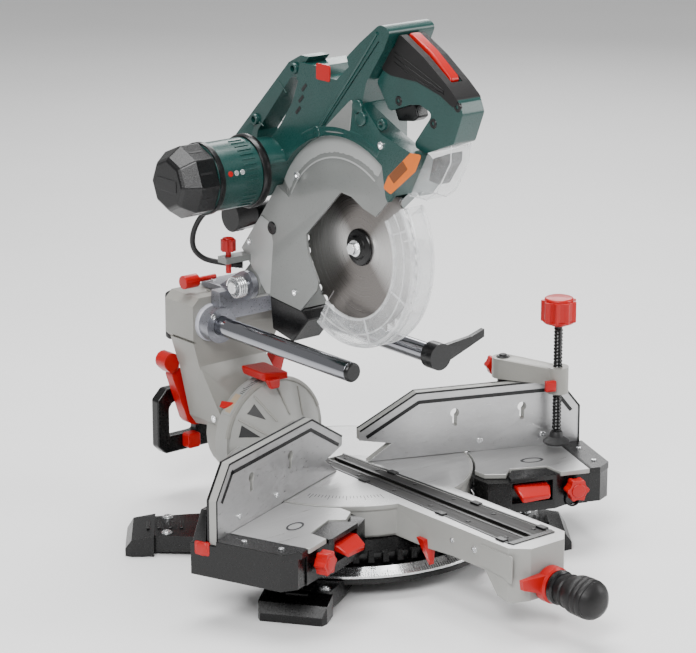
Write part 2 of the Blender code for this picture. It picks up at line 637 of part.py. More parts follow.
def make_carriage(ride):
    low, high = COLLAR_Y
    web = box((-RAIL_X, low + 4 * MM, 262 * MM), (RAIL_X, high, 300 * MM))
    frame = add("carriage", web, "zinc", ride)
    for s in (-1, 1):
        join(frame, rod("Y", (s * RAIL_X, RAIL_Z), COLLAR_R, low, high, 28))
    join(frame, box((-44 * MM, low + 4 * MM, 292.5 * MM), (44 * MM, 246 * MM, 300 * MM)))
    for s in (-1, 1):
        points = disc_points("X", (PIVOT_Y, PIVOT_Z), HUB_R, (s * 31 * MM, s * 39 * MM), 18)
        sides = (s * 31 * MM, s * 39 * MM)
        points += [(x, y * MM, z * MM) for x in sides for y, z in ((214, 299), (184, 290), (184, 318))]
        join(frame, hull(points))
    for s in (-1, 1):
        cut(frame, rod("Y", (s * RAIL_X, RAIL_Z), RAIL_R + GAP, low - EPS, high + EPS, 32))
    cut(frame, rod("X", (PIVOT_Y, PIVOT_Z), PIN_R + GAP, -60 * MM, 60 * MM, 24))
    pin = rod("X", (PIVOT_Y, PIVOT_Z), PIN_R, -60 * MM, 44 * MM, 24)
    add("pivot_pin", pin, "steel", ride)
    add("return_spring", spring_tube(), "steel", ride)

    knob = body("transport_pin", ride, (-44 * MM, 226 * MM, 308 * MM))
    centre = (226 * MM, 308 * MM)
    pull = add("transport_pin", rod("X", centre, 9 * MM, -88 * MM, -66 * MM, 12), "red", knob)
    join(pull, rod("X", centre, 3.5 * MM, -67 * MM, -36 * MM, 12))


def spring_tube():
    """The torsion spring round the pivot pin, as a swept round wire with its legs cut off."""
    turns, wire, radius = 3.5, 1.5 * MM, PIN_R + 3.5 * MM
    first = -43 * MM
    steps = 14
    sides = 6
    bm = bmesh.new()
    rings = []
    total = int(turns * steps)
    for i in range(total + 1):
        angle = 2 * math.pi * i / steps
        x = first - i * 3.6 * MM / steps
        out = Vector((0, math.cos(angle), math.sin(angle)))
        centre = Vector((x, PIVOT_Y, PIVOT_Z)) + out * radius
        ring = []
        for k in range(sides):
            a = 2 * math.pi * k / sides
            offset = Vector((wire * math.sin(a), 0, 0))
            ring.append(bm.verts.new(centre + out * (wire * math.cos(a)) + offset))
        rings.append(ring)
    for a, b in zip(rings, rings[1:]):
        for k in range(sides):
            n = (k + 1) % sides
            bm.faces.new((a[k], a[n], b[n], b[k]))
    bm.faces.new(rings[0])
    bm.faces.new(list(reversed(rings[-1])))
    return bm


# ---------------------------------------------------------------- head
def head_outline():
    """The green housing's side view, behind and above the blade guard."""
    return mm(
        (128, 452), (136, 478), (112, 508), (84, 548), (62, 588), (54, 612), (-12, 612),
        (-60, 652), (-98, 680), (-116, 673), (-104, 650), (-72, 606), (-64, 580), (-100, 548),
        (-140, 538), (-163, 533), (-152, 513), (-112, 468), (-104, 478), (-60, 440), (40, 440),
    )


def make_head(head):
    left, right = HEAD_LEFT, HEAD_RIGHT
    arbor = (ARBOR_Y, ARBOR_Z)

    # fixed guard with the swing arm
    outline = arc(arbor, GUARD_R, 27, 122, 22) + mm(
        (-108, 467), (-86, 445), (-62, 451), (-41, 461), (-20, 463), (48, 397), (45, 374),
        (24, 342), (26, 331), (59, 297), (124, 303), (180, 354), (138, 406))
    guard = add("fixed_guard", prism("X", outline, -28 * MM, -25 * MM), "guard_grey", head)
    rim = arc(arbor, GUARD_R - 0.2 * MM, 27, 121.8, 22) + arc(arbor, GUARD_HOLLOW_R, 121.8, -47, 34)
    rim += mm((123.8, 303.4), (179.6, 354), (137.8, 405.7))
    join(guard, prism("X", rim, -26.5 * MM, 18 * MM))
    hub = disc_points("X", (PIVOT_Y, PIVOT_Z), HUB_R, (-30 * MM, 30 * MM), 18)
    hub += [(x, y * MM, z * MM) for x in (-24 * MM, 17 * MM) for y, z in ((134, 332), (158, 345))]
    join(guard, hull(hub))
    cut(guard, rod("X", (PIVOT_Y, PIVOT_Z), PIN_R + GAP, -60 * MM, 60 * MM, 24))
    # depth stop: a screw through a lug beside the swing arm
    stop = (-58 * MM, 168 * MM)
    join(guard, box((-68 * MM, 159 * MM, 342 * MM), (-27 * MM, 177 * MM, 350 * MM)))
    cut(guard, rod("Z", stop, 4 * MM, 340 * MM, 352 * MM, 16))
    turn = body("depth_stop", head, (*stop, 350 * MM))
    screw = add("depth_stop", rod("Z", stop, 3.6 * MM, 328 * MM, 362 * MM, 12), "red", turn)
    join(screw, star(stop, 10 * MM, 357 * MM, 374 * MM, "Z", 8, 0.95))

    # green housing: beam, right-hand gear case and the bearing boss of the arbor
    housing = add("head_housing", prism("X", head_outline(), left, right - 1 * MM), "green", head)
    join(housing, rod("X", (MOTOR_Y, MOTOR_Z), 38 * MM, MOTOR_INNER + GAP, 19 * MM, 28))
    fan = [arbor] + arc(arbor, GUARD_R + GAP * 2, -75, 122.5, 34) + mm((-109.2, 466.8), (-86, 443.5))
    cut(housing, prism("X", fan, left - 40 * MM, 18.3 * MM))
    swing = mm((60, 430), (101.3, 455.4), (138.6, 406.5), (190, 340), (60, 340))
    cut(housing, prism("X", swing, left - 41 * MM, 18.5 * MM))
    sector = [arbor] + arc(arbor, GUARD_HOLLOW_R, 95, 250, 28)
    cut(housing, prism("X", sector, -24.6 * MM, 18.4 * MM))
    # the shoulder in front of the beam falls away to the right, under the handle's opening
    shoulder = [(x * MM, y * MM, z * MM) for x, y, z in (
        (-20, -182, 533.2), (-20, -65, 580.8), (41, -182, 475), (41, -65, 522.6),
        (-20, -182, 581), (41, -182, 581), (41, -65, 581))]
    cut(housing, hull(shoulder))
    case = disc_points("X", arbor, 31 * MM, (18.6 * MM, right), 24)
    case += disc_points("X", (MOTOR_Y, MOTOR_Z), 36 * MM, (18.6 * MM, right), 24)
    join(housing, hull(case), rod("X", arbor, 21 * MM, 13 * MM, 22 * MM, 24))
    cavity = disc_points("X", arbor, BIG_PULLEY_R + 5 * MM, (BELT_X[0] - 3 * MM, right + EPS), 20)
    depth = (BELT_X[0] - 3 * MM, right + EPS)
    cavity += disc_points("X", (MOTOR_Y, MOTOR_Z), SMALL_PULLEY_R + 9 * MM, depth, 20)
    cut(housing, hull(cavity))
    cut(housing, rod("X", arbor, SHAFT_R + GAP, 5 * MM, BELT_X[0] + 1.3 * MM, 20))
    cut(housing, rod("X", (MOTOR_Y, MOTOR_Z), 6.1 * MM, MOTOR_INNER - EPS, BELT_X[0] + 1.7 * MM, 20))
    # carrying handle loop behind the beam
    loop = mm((136, 478), (172, 476), (189, 500), (80, 608), (56, 620), (40, 620), (54, 606))
    join(housing, prism("X", loop, -28 * MM, 4 * MM))
    hole = mm((120, 500), (146, 500), (144, 512), (76, 590), (64, 592), (58, 588), (70, 560), (92, 530))
    cut(housing, prism("X", hole, left - EPS, right + EPS))

    cover = disc_points("X", arbor, 30.5 * MM, (right + GAP, right + 4.5 * MM), 24)
    cover += disc_points("X", (MOTOR_Y, MOTOR_Z), 35.5 * MM, (right + GAP, right + 4.5 * MM), 24)
    add("belt_cover", hull(cover), "black_plastic", head)

    make_main_handle(head)
    make_motor(head)
    make_blade(head)

    # chip chute under the guard
    chute = arc(arbor, LOWER_GUARD_R + 2 * MM, 304, 311, 3) + mm((123, 302), (118, 260), (77, 252))
    add("chip_chute", prism("X", chute, -27 * MM, 17 * MM), "black_plastic", head)
    # dust outlet elbow behind the guard
    outlet = hull(disc_points("X", (196 * MM, 392 * MM), 19 * MM, (-34 * MM, 8 * MM), 16)
                  + disc_points("X", (160 * MM, 402 * MM), 14 * MM, (-26 * MM, 0), 16))
    add("dust_outlet", outlet, "black_plastic", head)


def make_main_handle(head):
    outer = mm(
        (-117, 667), (-124, 664), (-160, 646), (-198, 621), (-222, 604), (-228, 590), (-213, 553.5),
        (-163.5, 534), (-146, 538), (-144, 544), (-176, 583), (-152, 590), (-134, 587), (-98, 574),
        (-74, 606), (-107, 648))
    loop = add("main_handle", prism("X", outer, -17 * MM, 17 * MM), "green", head)
    cut(loop, box((-11 * MM, -150 * MM, 560 * MM), (11 * MM, -86 * MM, 599 * MM)))
    side = ((-118, 655), (-196, 608), (-199, 630), (-118, 680))
    slot = [(x * MM, y * MM, z * MM) for x in (-8, 8) for y, z in side]
    cut(loop, hull(slot))
    trigger = body("trigger", head, (0, -92 * MM, 586 * MM))
    points = [(x * MM, y * MM, z * MM) for x in (-9, 9) for y, z in (
        (-98, 585), (-90, 590), (-134, 588), (-140, 572), (-132, 566), (-104, 562))]
    add("trigger", hull(points), "black_plastic", trigger)
    safety = body("safety_bar", head, (0, -120 * MM, 662 * MM))
    points = [(x * MM, y * MM, z * MM) for x in (-7, 7) for y, z in (
        (-121, 661), (-193, 619), (-196, 624), (-193, 629), (-158, 653), (-127, 669), (-120, 669))]
    add("safety_bar", hull(points), "red", safety)
    window = mm((-163.8, 533), (-213, 552.5), (-212, 528), (-184, 482), (-162, 470), (-127, 470), (-153, 513))
    add("laser_window", prism("X", window, -16 * MM, 16 * MM), "clear", head)


def make_motor(head):
    centre = (MOTOR_Y, MOTOR_Z)
    r = MOTOR_R
    outer = [(r - 4 * MM, MOTOR_INNER), (r, MOTOR_INNER - 5 * MM), (r, MOTOR_SPLIT)]
    inner = [(r - 3 * MM, MOTOR_SPLIT), (r - 3 * MM, MOTOR_INNER - 6 * MM)]
    inner += [(9 * MM, MOTOR_INNER - 6 * MM), (9 * MM, MOTOR_INNER)]
    add("motor_housing", turned("X", centre, outer + inner, 32), "green", head)
    profile = [
        (r - 1 * MM, MOTOR_SPLIT - GAP), (r - 1 * MM, MOTOR_OUTER + 16 * MM),
        (r - 9 * MM, MOTOR_OUTER + 3 * MM),
        (r - 16 * MM, MOTOR_OUTER), (5.4 * MM, MOTOR_OUTER), (5.4 * MM, MOTOR_OUTER + 12 * MM),
        (r - 12 * MM, MOTOR_OUTER + 12 * MM), (r - 4 * MM, MOTOR_OUTER + 20 * MM),
        (r - 4 * MM, MOTOR_SPLIT - GAP),
    ]
    add("motor_cap", turned("X", centre, profile, 32), "black_plastic", head)
    winding = sleeve("X", centre, 25 * MM, r - 3.6 * MM, MOTOR_INNER - 66 * MM, MOTOR_INNER - 22 * MM, 28)
    add("stator", winding, "copper", head)
    spin = body("motor_rotor", head, (0, MOTOR_Y, MOTOR_Z))
    end = BELT_X[1] + 1 * MM
    profile = [
        (0, MOTOR_OUTER + 3 * MM), (4.8 * MM, MOTOR_OUTER + 3 * MM),
        (4.8 * MM, MOTOR_INNER - 70 * MM), (23.5 * MM, MOTOR_INNER - 70 * MM),
        (23.5 * MM, MOTOR_INNER - 18 * MM), (5.8 * MM, MOTOR_INNER - 18 * MM), (5.8 * MM, BELT_X[0] - 1 * MM),
        (SMALL_PULLEY_R, BELT_X[0] - 1 * MM), (SMALL_PULLEY_R, end), (0, end),
    ]
    add("motor_rotor", turned("X", centre, profile, 24), "steel", spin)


def make_blade(head):
    arbor = (ARBOR_Y, ARBOR_Z)
    spin = body("blade", head, (0, ARBOR_Y, ARBOR_Z))
    end = BELT_X[1] + 1 * MM
    profile = [
        (0, -8.5 * MM), (SHAFT_R - 0.5 * MM, -8.5 * MM), (SHAFT_R - 0.5 * MM, 2 * MM),
        (FLANGE_R - 4 * MM, 2 * MM), (FLANGE_R - 4 * MM, 9 * MM), (SHAFT_R, 9 * MM),
        (SHAFT_R, BELT_X[0] - 1 * MM), (BIG_PULLEY_R, BELT_X[0] - 1 * MM), (BIG_PULLEY_R, end), (0, end),
    ]
    add("spindle", turned("X", arbor, profile, 28), "steel", spin)
    teeth = 24
    outline = []
    for i in range(teeth):
        for share, drop in ((0.0, 0.0), (0.30, 3 * MM), (0.42, 8 * MM), (0.62, 8 * MM)):
            angle = 2 * math.pi * (i + share) / teeth
            r = BLADE_R - drop
            outline.append((ARBOR_Y + r * math.cos(angle), ARBOR_Z + r * math.sin(angle)))
    blade = add("blade", prism("X", outline, -BLADE_THICK / 2, BLADE_THICK / 2), "steel", spin)
    cut(blade, rod("X", arbor, SHAFT_R + 0.2 * MM, -20 * MM, 20 * MM, 24))
    profile = [
        (SHAFT_R, -BLADE_THICK / 2 - GAP), (FLANGE_R, -BLADE_THICK / 2 - GAP), (FLANGE_R - 1 * MM, -5 * MM),
        (13 * MM, -8.6 * MM), (SHAFT_R, -8.6 * MM),
    ]
    add("blade_flange", turned("X", arbor, profile, 28), "black_plastic", spin)
    profile = mm((0, -9), (11, -9), (11, -11), (6, -12), (6, -17), (0, -17))
    add("blade_bolt", turned("X", arbor, profile, 18), "chrome", spin)

    # toothless drive belt round the two pulleys
    def belt_outline(extra):
        small, big = SMALL_PULLEY_R + extra, BIG_PULLEY_R + extra
        span = Vector((MOTOR_Y - ARBOR_Y, MOTOR_Z - ARBOR_Z))
        lean = math.degrees(math.atan2(span.y, span.x))
        tip = math.degrees(math.acos((big - small) / span.length))
        points = arc(arbor, big, lean + tip, lean + 360 - tip, 14)
        return points + arc((MOTOR_Y, MOTOR_Z), small, lean - tip, lean + tip, 8)

    belt = add("drive_belt", prism("X", belt_outline(2.8 * MM), *BELT_X), "rubber", head)
    cut(belt, prism("X", belt_outline(0.4 * MM), BELT_X[0] - EPS, BELT_X[1] + EPS))

    swing = body("lower_guard", head, (0, ARBOR_Y, ARBOR_Z))
    r = LOWER_GUARD_R
    channel = [
        (78 * MM, -20 * MM), (r, -20 * MM), (r, 16.8 * MM), (78 * MM, 16.8 * MM),
        (78 * MM, 14.5 * MM), (r - 2.5 * MM, 14.5 * MM), (r - 2.5 * MM, -17.7 * MM), (78 * MM, -17.7 * MM),
    ]
    start, end = math.radians(145), math.radians(300)
    guard = add("lower_guard", turned("X", arbor, channel, 26, start, end), "clear", swing)
    arm = [(26 * MM, 14.5 * MM), (80 * MM, 14.5 * MM), (80 * MM, 16.8 * MM), (26 * MM, 16.8 * MM)]
    join(guard, turned("X", arbor, arm, 6, math.radians(205), math.radians(240)))
    join(guard, sleeve("X", arbor, 21.4 * MM, 29 * MM, 14.5 * MM, 16.8 * MM, 28))


# ---------------------------------------------------------------- cable
def make_cable(head):
    """The short lead from the motor's underside to the swing arm."""
    route = [
        (-74, 150, 430), (-76, 162, 426), (-80, 180, 412), (-84, 196, 394), (-86, 205, 374),
        (-83, 207, 356), (-72, 202, 343), (-56, 191, 337), (-42, 179, 335), (-33, 171, 335),
    ]
    points = smooth_path([Vector(p) * MM for p in route], 4)
    curve = bpy.data.curves.new("power_cable", "CURVE")
    curve.dimensions = "3D"
    curve.bevel_depth = 3.5 * MM
    curve.bevel_resolution = 2
    curve.use_fill_caps = True
    curve.materials.append(material("rubber"))
    spline = curve.splines.new("POLY")
    spline.points.add(len(points) - 1)
    for place, p in zip(spline.points, points):
        place.co = (*p, 1.0)
    obj = bpy.data.objects.new("power_cable", curve)
    bpy.context.scene.collection.objects.link(obj)
    obj.parent = head
    obj.location = -Vector(head["frame_at"])
    obj.modifiers.new("caps", "WELD").merge_threshold = 0.01 * MM


def smooth_path(points, steps):
    """Points read from one smooth curve through the given points."""
    padded = [2 * points[0] - points[1], *points, 2 * points[-1] - points[-2]]
    out = []
    for a, b, c, d in zip(padded, padded[1:], padded[2:], padded[3:]):
        for i in range(steps):
            t = i / steps
            low_terms = 2 * b + (c - a) * t + (2 * a - 5 * b + 4 * c - d) * t * t
            out.append(0.5 * (low_terms + (3 * b - a - 3 * c + d) * t ** 3))
    return [*out, points[-1]]


def main():
    clear_scene()
    root = body("root", None, (0, 0, 0))
    root.location = (0, FRAME_SHIFT, 0)
    make_base(root)
    table = body("turntable", root, (0, 0, TURNTABLE_LOW))
    make_turntable(table)
    make_front_controls(table)
    for s, label in ((-1, "left"), (1, "right")):
        side = make_side(root, s, label)
        if s > 0:
            make_clamp(side)
    post = body("bevel_post", table, (0, BEVEL_FACE, TABLE_Z))
    make_post(post)
    make_rear_frame(post)
    make_post_levers(post)
    ride = body("carriage", post, (0, COLLAR_Y[0], RAIL_Z))
    make_carriage(ride)
    head = body("head", ride, (0, PIVOT_Y, PIVOT_Z))
    make_head(head)
    make_cable(head)


main()
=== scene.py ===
"""The looks of the sliding mitre saw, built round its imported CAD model."""

import math

import bmesh
import bpy
from mathutils import Matrix, Vector


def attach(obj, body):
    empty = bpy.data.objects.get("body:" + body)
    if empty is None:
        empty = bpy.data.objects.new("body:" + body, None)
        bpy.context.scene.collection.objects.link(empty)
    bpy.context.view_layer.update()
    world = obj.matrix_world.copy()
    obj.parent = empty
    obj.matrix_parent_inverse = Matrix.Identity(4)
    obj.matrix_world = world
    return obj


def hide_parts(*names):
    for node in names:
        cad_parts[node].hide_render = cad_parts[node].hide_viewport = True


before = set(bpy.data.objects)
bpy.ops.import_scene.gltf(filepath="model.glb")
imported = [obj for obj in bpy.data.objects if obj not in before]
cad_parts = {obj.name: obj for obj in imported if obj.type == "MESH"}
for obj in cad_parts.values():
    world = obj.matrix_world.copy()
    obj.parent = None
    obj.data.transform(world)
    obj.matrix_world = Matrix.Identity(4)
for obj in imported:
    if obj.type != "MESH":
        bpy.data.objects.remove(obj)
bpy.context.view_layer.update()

MM = 0.001
AXIS_Y = 79.5 * MM  # the turntable's axis stands this far behind the origin
SIDE_SWING = math.radians(21.5)
TABLE = 104
ARBOR = (-25, 391)
MOTOR = (117, 471)
MACHINE = Matrix.Translation((0, AXIS_Y, 0))
LABELS = {-1: "left", 1: "right"}


def side_frame(s):
    """A side table's own frame: u outwards from the axis, v towards the front, z up."""
    c, n = math.cos(SIDE_SWING), math.sin(SIDE_SWING)
    return MACHINE @ Matrix(((s * c, -s * n, 0, 0), (-n, -c, 0, 0), (0, 0, 1, 0), (0, 0, 0, 1)))


SIDES = {s: side_frame(s) for s in (-1, 1)}


# ---------------------------------------------------------------- materials
class Nodes:
    """A small helper to wire up one material."""

    def __init__(self, name):
        self.mat = bpy.data.materials.new(name)
        self.mat.use_nodes = True
        self.tree = self.mat.node_tree
        self.shader = self.tree.nodes["Principled BSDF"]
        self.place = self.add("ShaderNodeTexCoord").outputs["Object"]

    def add(self, kind, **settings):
        node = self.tree.nodes.new(kind)
        for key, value in settings.items():
            setattr(node, key, value)
        return node

    def link(self, out, into):
        self.tree.links.new(out, into)

    def noise(self, scale, detail=3.0, stretch=(1, 1, 1), rough=0.55):
        mapping = self.add("ShaderNodeMapping")
        mapping.inputs["Scale"].default_value = stretch
        self.link(self.place, mapping.inputs["Vector"])
        noise = self.add("ShaderNodeTexNoise")
        noise.inputs["Scale"].default_value = scale
        noise.inputs["Detail"].default_value = detail
        noise.inputs["Roughness"].default_value = rough
        self.link(mapping.outputs["Vector"], noise.inputs["Vector"])
        return noise.outputs["Fac"]

    def between(self, fac, low, high, start=0.3, end=0.7):
        """Two colours mixed by a factor."""
        ramp = self.add("ShaderNodeValToRGB")
        ramp.color_ramp.elements[0].position = start
        ramp.color_ramp.elements[1].position = end
        ramp.color_ramp.elements[0].color = (*low, 1)
        ramp.color_ramp.elements[1].color = (*high, 1)
        self.link(fac, ramp.inputs["Fac"])
        return ramp.outputs["Color"]

    def span(self, fac, low, high):
        """A factor's middle stretched to a range of values."""
        part = self.add("ShaderNodeMapRange")
        part.inputs["From Min"].default_value = 0.3
        part.inputs["From Max"].default_value = 0.7
        part.inputs["To Min"].default_value = low
        part.inputs["To Max"].default_value = high
        self.link(fac, part.inputs["Value"])
        return part.outputs["Result"]

    def bump(self, fac, strength, distance=0.0005):
        bump = self.add("ShaderNodeBump")
        bump.inputs["Strength"].default_value = strength
        bump.inputs["Distance"].default_value = distance
        self.link(fac, bump.inputs["Height"])
        self.link(bump.outputs["Normal"], self.shader.inputs["Normal"])


def shade(colour, factor):
    return tuple(min(1.0, c * factor) for c in colour)


def surface(name, colour, rough, metal=0.0, vary=0.08, grain=900, bump=0.08, broad=14,
            stretch=(1, 1, 1), coat=0.0, spread=0.06, specular=0.5):
    """Moulded, painted, cast or brushed: a broad colour change, a fine grain and an uneven gloss."""
    n = Nodes(name)
    wide = n.noise(broad, 4.0)
    fine = n.noise(grain, 2.0, stretch)
    n.link(n.between(wide, shade(colour, 1 - vary), shade(colour, 1 + vary)),
            n.shader.inputs["Base Color"])
    n.link(n.span(fine, max(0.02, rough - spread), rough + spread), n.shader.inputs["Roughness"])
    n.shader.inputs["Metallic"].default_value = metal
    n.shader.inputs["Coat Weight"].default_value = coat
    n.shader.inputs["Coat Roughness"].default_value = 0.1
    n.shader.inputs["Specular IOR Level"].default_value = specular
    n.bump(fine, bump)
    return n.mat


def brushed(name, colour, rough, stretch, grain=260, metal=1.0, vary=0.1, cloud=7, cloud_vary=0.16,
        bump=0.05):
    """Machined or brushed metal: long fine streaks over soft dark and light clouds."""
    n = Nodes(name)
    streak = n.noise(grain, 6.0, stretch, 0.65)
    wide = n.noise(cloud, 3.0)
    low = n.between(wide, shade(colour, 1 - cloud_vary), shade(colour, 1 + cloud_vary * 0.6), 0.25,
            0.75)
    mix = n.add("ShaderNodeMix", data_type="RGBA", blend_type="MULTIPLY")
    mix.inputs["Factor"].default_value = 1.0
    n.link(low, mix.inputs[6])
    n.link(n.between(streak, (1 - vary,) * 3, (1.0, 1.0, 1.0)), mix.inputs[7])
    n.link(mix.outputs[2], n.shader.inputs["Base Color"])
    n.link(n.span(streak, rough - 0.07, rough + 0.1), n.shader.inputs["Roughness"])
    n.shader.inputs["Metallic"].default_value = metal
    n.bump(streak, bump, 0.0002)
    return n.mat


def clear(name, colour, alpha, rough):
    """Clear moulded plastic, a little milky and scuffed."""
    n = Nodes(name)
    scuff = n.noise(60, 5.0, (1, 1, 1), 0.7)
    n.link(n.between(scuff, shade(colour, 0.85), colour), n.shader.inputs["Base Color"])
    n.link(n.span(scuff, rough * 0.6, rough * 1.6), n.shader.inputs["Roughness"])
    n.link(n.span(scuff, alpha * 0.75, alpha * 1.3), n.shader.inputs["Alpha"])
    n.shader.inputs["Coat Weight"].default_value = 0.6
    n.shader.inputs["Coat Roughness"].default_value = 0.05
    n.shader.inputs["Specular IOR Level"].default_value = 0.8
    n.bump(n.noise(25, 2.0), 0.15, 0.001)
    return n.mat


GREEN = surface("green_shell", (0.0050, 0.041, 0.036), 0.30, vary=0.10, grain=1400, bump=0.10,
        coat=0.15)
# a darker copy of the shell green: painted shade for the grooves on the carry handle
GREEN_GROOVE_SHADE = surface("green_groove_painted_shade", (0.003, 0.032, 0.026), 0.42, vary=0.12, grain=1400, bump=0.10)
RED = surface("red_moulding", (0.40, 0.0014, 0.0012), 0.33, vary=0.07, grain=1100, bump=0.05,
        coat=0.08, specular=0.35)
ORANGE = surface("orange_plate", (0.62, 0.13, 0.003), 0.45, vary=0.05, grain=1200, bump=0.03)
ORANGE_DARK = surface("orange_edge", (0.16, 0.04, 0.003), 0.5, vary=0.05)
BLACK = surface("black_moulding", (0.0026, 0.0026, 0.003), 0.3, vary=0.25, grain=1100, bump=0.10,
        coat=0.05, specular=0.4)
BLACK_GLOSS = surface("black_paint", (0.0016, 0.0016, 0.0018), 0.3, vary=0.2, grain=420, bump=0.02,
        coat=0.06, specular=0.35)
BLACK_DULL = surface("black_grain", (0.006, 0.006, 0.0065), 0.5, vary=0.25, grain=1800, bump=0.25)
GRIP = surface("soft_grip_rubber", (0.0060, 0.0054, 0.0056), 0.45, specular=0.35, vary=0.18,
        grain=2200, bump=0.22)
GREY = surface("grey_casting_paint", (0.25, 0.246, 0.226), 0.36, vary=0.06, grain=520, bump=0.14,
        coat=0.1)
GUARD = surface("guard_paint", (0.205, 0.212, 0.206), 0.33, metal=0.3, vary=0.05, grain=800,
        bump=0.07, coat=0.1)
# a lighter copy of the guard paint: a painted highlight on the guard's chamfer band and the facet behind
# its crease, and the paler colour of the bevel scale band
PALE_SCALE_AND_GUARD_HIGHLIGHT = surface("pale_scale_and_guard_painted_highlight", (0.36, 0.368, 0.362), 0.36, metal=0.2, vary=0.05,
        grain=800, bump=0.07)
ZINC = surface("zinc_casting_raw", (0.26, 0.265, 0.295), 0.32, metal=0.75, vary=0.14, grain=420,
        bump=0.16, broad=40)
PLASTIC_PALE = surface("pale_collar", (0.46, 0.465, 0.52), 0.42, vary=0.06, grain=700, bump=0.06)
STEEL = brushed("steel_turned", (0.62, 0.62, 0.63), 0.26, (1, 1, 1), grain=700)
BOLT = surface("bolt_zinc", (0.78, 0.79, 0.80), 0.24, metal=0.9, vary=0.12, grain=900, bump=0.1,
        broad=200)
CHROME = brushed("rail_chromed", (0.30, 0.305, 0.33), 0.09, (1, 0.02, 1), grain=240, vary=0.03,
        cloud_vary=0.03, bump=0.01)
TOP = brushed("table_machined", (0.58, 0.58, 0.58), 0.33, (0.03, 1, 1), grain=420, vary=0.14,
        metal=0.85, bump=0.012)
FACE = brushed("fence_machined", (0.60, 0.60, 0.605), 0.33, (0.04, 1, 1), grain=300, vary=0.12,
        cloud=6, cloud_vary=0.25, metal=0.9, bump=0.012)
SIDE_PAINT = surface("casting_side", (0.29, 0.29, 0.275), 0.42, vary=0.05, grain=420, bump=0.12)
KERF = brushed("kerf_plate_dark", (0.008, 0.007, 0.0066), 0.5, (1, 0.02, 1), grain=500, metal=0.2,
        vary=0.35)
COPPER = surface("copper_wire", (0.55, 0.22, 0.10), 0.38, metal=0.9, grain=2400, bump=0.3)
CLEAR = clear("clear_guard", (0.80, 0.82, 0.83), 0.22, 0.10)
# a brighter, more opaque copy of the clear plastic: painted highlight where its rims, ribs and edges catch
# the light
CLEAR_RIM_HIGHLIGHT = clear("clear_rim_painted_highlight", (0.88, 0.89, 0.90), 0.42, 0.08)
TAN = surface("bevel_slot_tan", (0.46, 0.36, 0.25), 0.45, metal=0.4, vary=0.15)
INK = surface("scale_ink", (0.02, 0.02, 0.022), 0.6)


def blade_steel():
    """Ground steel with fine rings and a painted sheen: soft light rays to the left and right of the
    arbor, dark rays above and below it.
    """
    n = Nodes("blade_ground_painted_sheen")
    parts = n.add("ShaderNodeSeparateXYZ")
    shift = n.add("ShaderNodeVectorMath", operation="SUBTRACT")
    shift.inputs[1].default_value = (0, ARBOR[0] * MM + AXIS_Y, ARBOR[1] * MM)
    n.link(n.place, shift.inputs[0])
    n.link(shift.outputs["Vector"], parts.inputs["Vector"])
    angle = n.add("ShaderNodeMath", operation="ARCTAN2")
    n.link(parts.outputs["Z"], angle.inputs[0])
    n.link(parts.outputs["Y"], angle.inputs[1])
    double = n.add("ShaderNodeMath", operation="MULTIPLY")
    double.inputs[1].default_value = 2.0
    n.link(angle.outputs[0], double.inputs[0])
    wave = n.add("ShaderNodeMath", operation="COSINE")
    n.link(double.outputs[0], wave.inputs[0])
    painted_sheen_mask = n.add("ShaderNodeMapRange")
    painted_sheen_mask.inputs["From Min"].default_value = -1.0
    n.link(wave.outputs[0], painted_sheen_mask.inputs["Value"])
    length = n.add("ShaderNodeVectorMath", operation="LENGTH")
    n.link(shift.outputs["Vector"], length.inputs[0])
    rings = n.add("ShaderNodeTexNoise", noise_dimensions="1D")
    rings.inputs["Scale"].default_value = 900
    n.link(length.outputs["Value"], rings.inputs["W"])
    # painted sheen: light where the ray from the arbor runs level, dark where it runs up and down
    base = n.between(painted_sheen_mask.outputs["Result"], (0.20, 0.185, 0.175), (0.62, 0.61, 0.60), 0.45, 1.0)
    mix = n.add("ShaderNodeMix", data_type="RGBA", blend_type="MULTIPLY")
    mix.inputs["Factor"].default_value = 1.0
    n.link(base, mix.inputs[6])
    n.link(n.between(rings.outputs["Fac"], (0.86,) * 3, (1.0,) * 3), mix.inputs[7])
    n.link(mix.outputs[2], n.shader.inputs["Base Color"])
    n.link(n.span(rings.outputs["Fac"], 0.26, 0.4), n.shader.inputs["Roughness"])
    n.shader.inputs["Metallic"].default_value = 0.9
    n.bump(rings.outputs["Fac"], 0.06, 0.0002)
    return n.mat


BLADE = blade_steel()


# ---------------------------------------------------------------- shapes, in millimetres
def along(axis, a, b, t):
    """A point from two coordinates across an axis and one along it."""
    return {"X": (t, a, b), "Y": (a, t, b), "Z": (a, b, t)}[axis]


def prism(axis, outline, low, high):
    bm = bmesh.new()
    ends = [[bm.verts.new(along(axis, a, b, t)) for a, b in outline] for t in (low, high)]
    count = len(outline)
    bm.faces.new(ends[0])
    bm.faces.new(reversed(ends[1]))
    for i in range(count):
        j = (i + 1) % count
        bm.faces.new((ends[0][i], ends[0][j], ends[1][j], ends[1][i]))
    return bm


def hull(points):
    bm = bmesh.new()
    for p in points:
        bm.verts.new(p)
    made = bmesh.ops.convex_hull(bm, input=bm.verts)
    loose = {v for v in made["geom_interior"] if isinstance(v, bmesh.types.BMVert)}
    bmesh.ops.delete(bm, geom=list(loose), context="VERTS")
    bmesh.ops.dissolve_limit(bm, angle_limit=math.radians(0.5), verts=bm.verts, edges=bm.edges)
    return bm


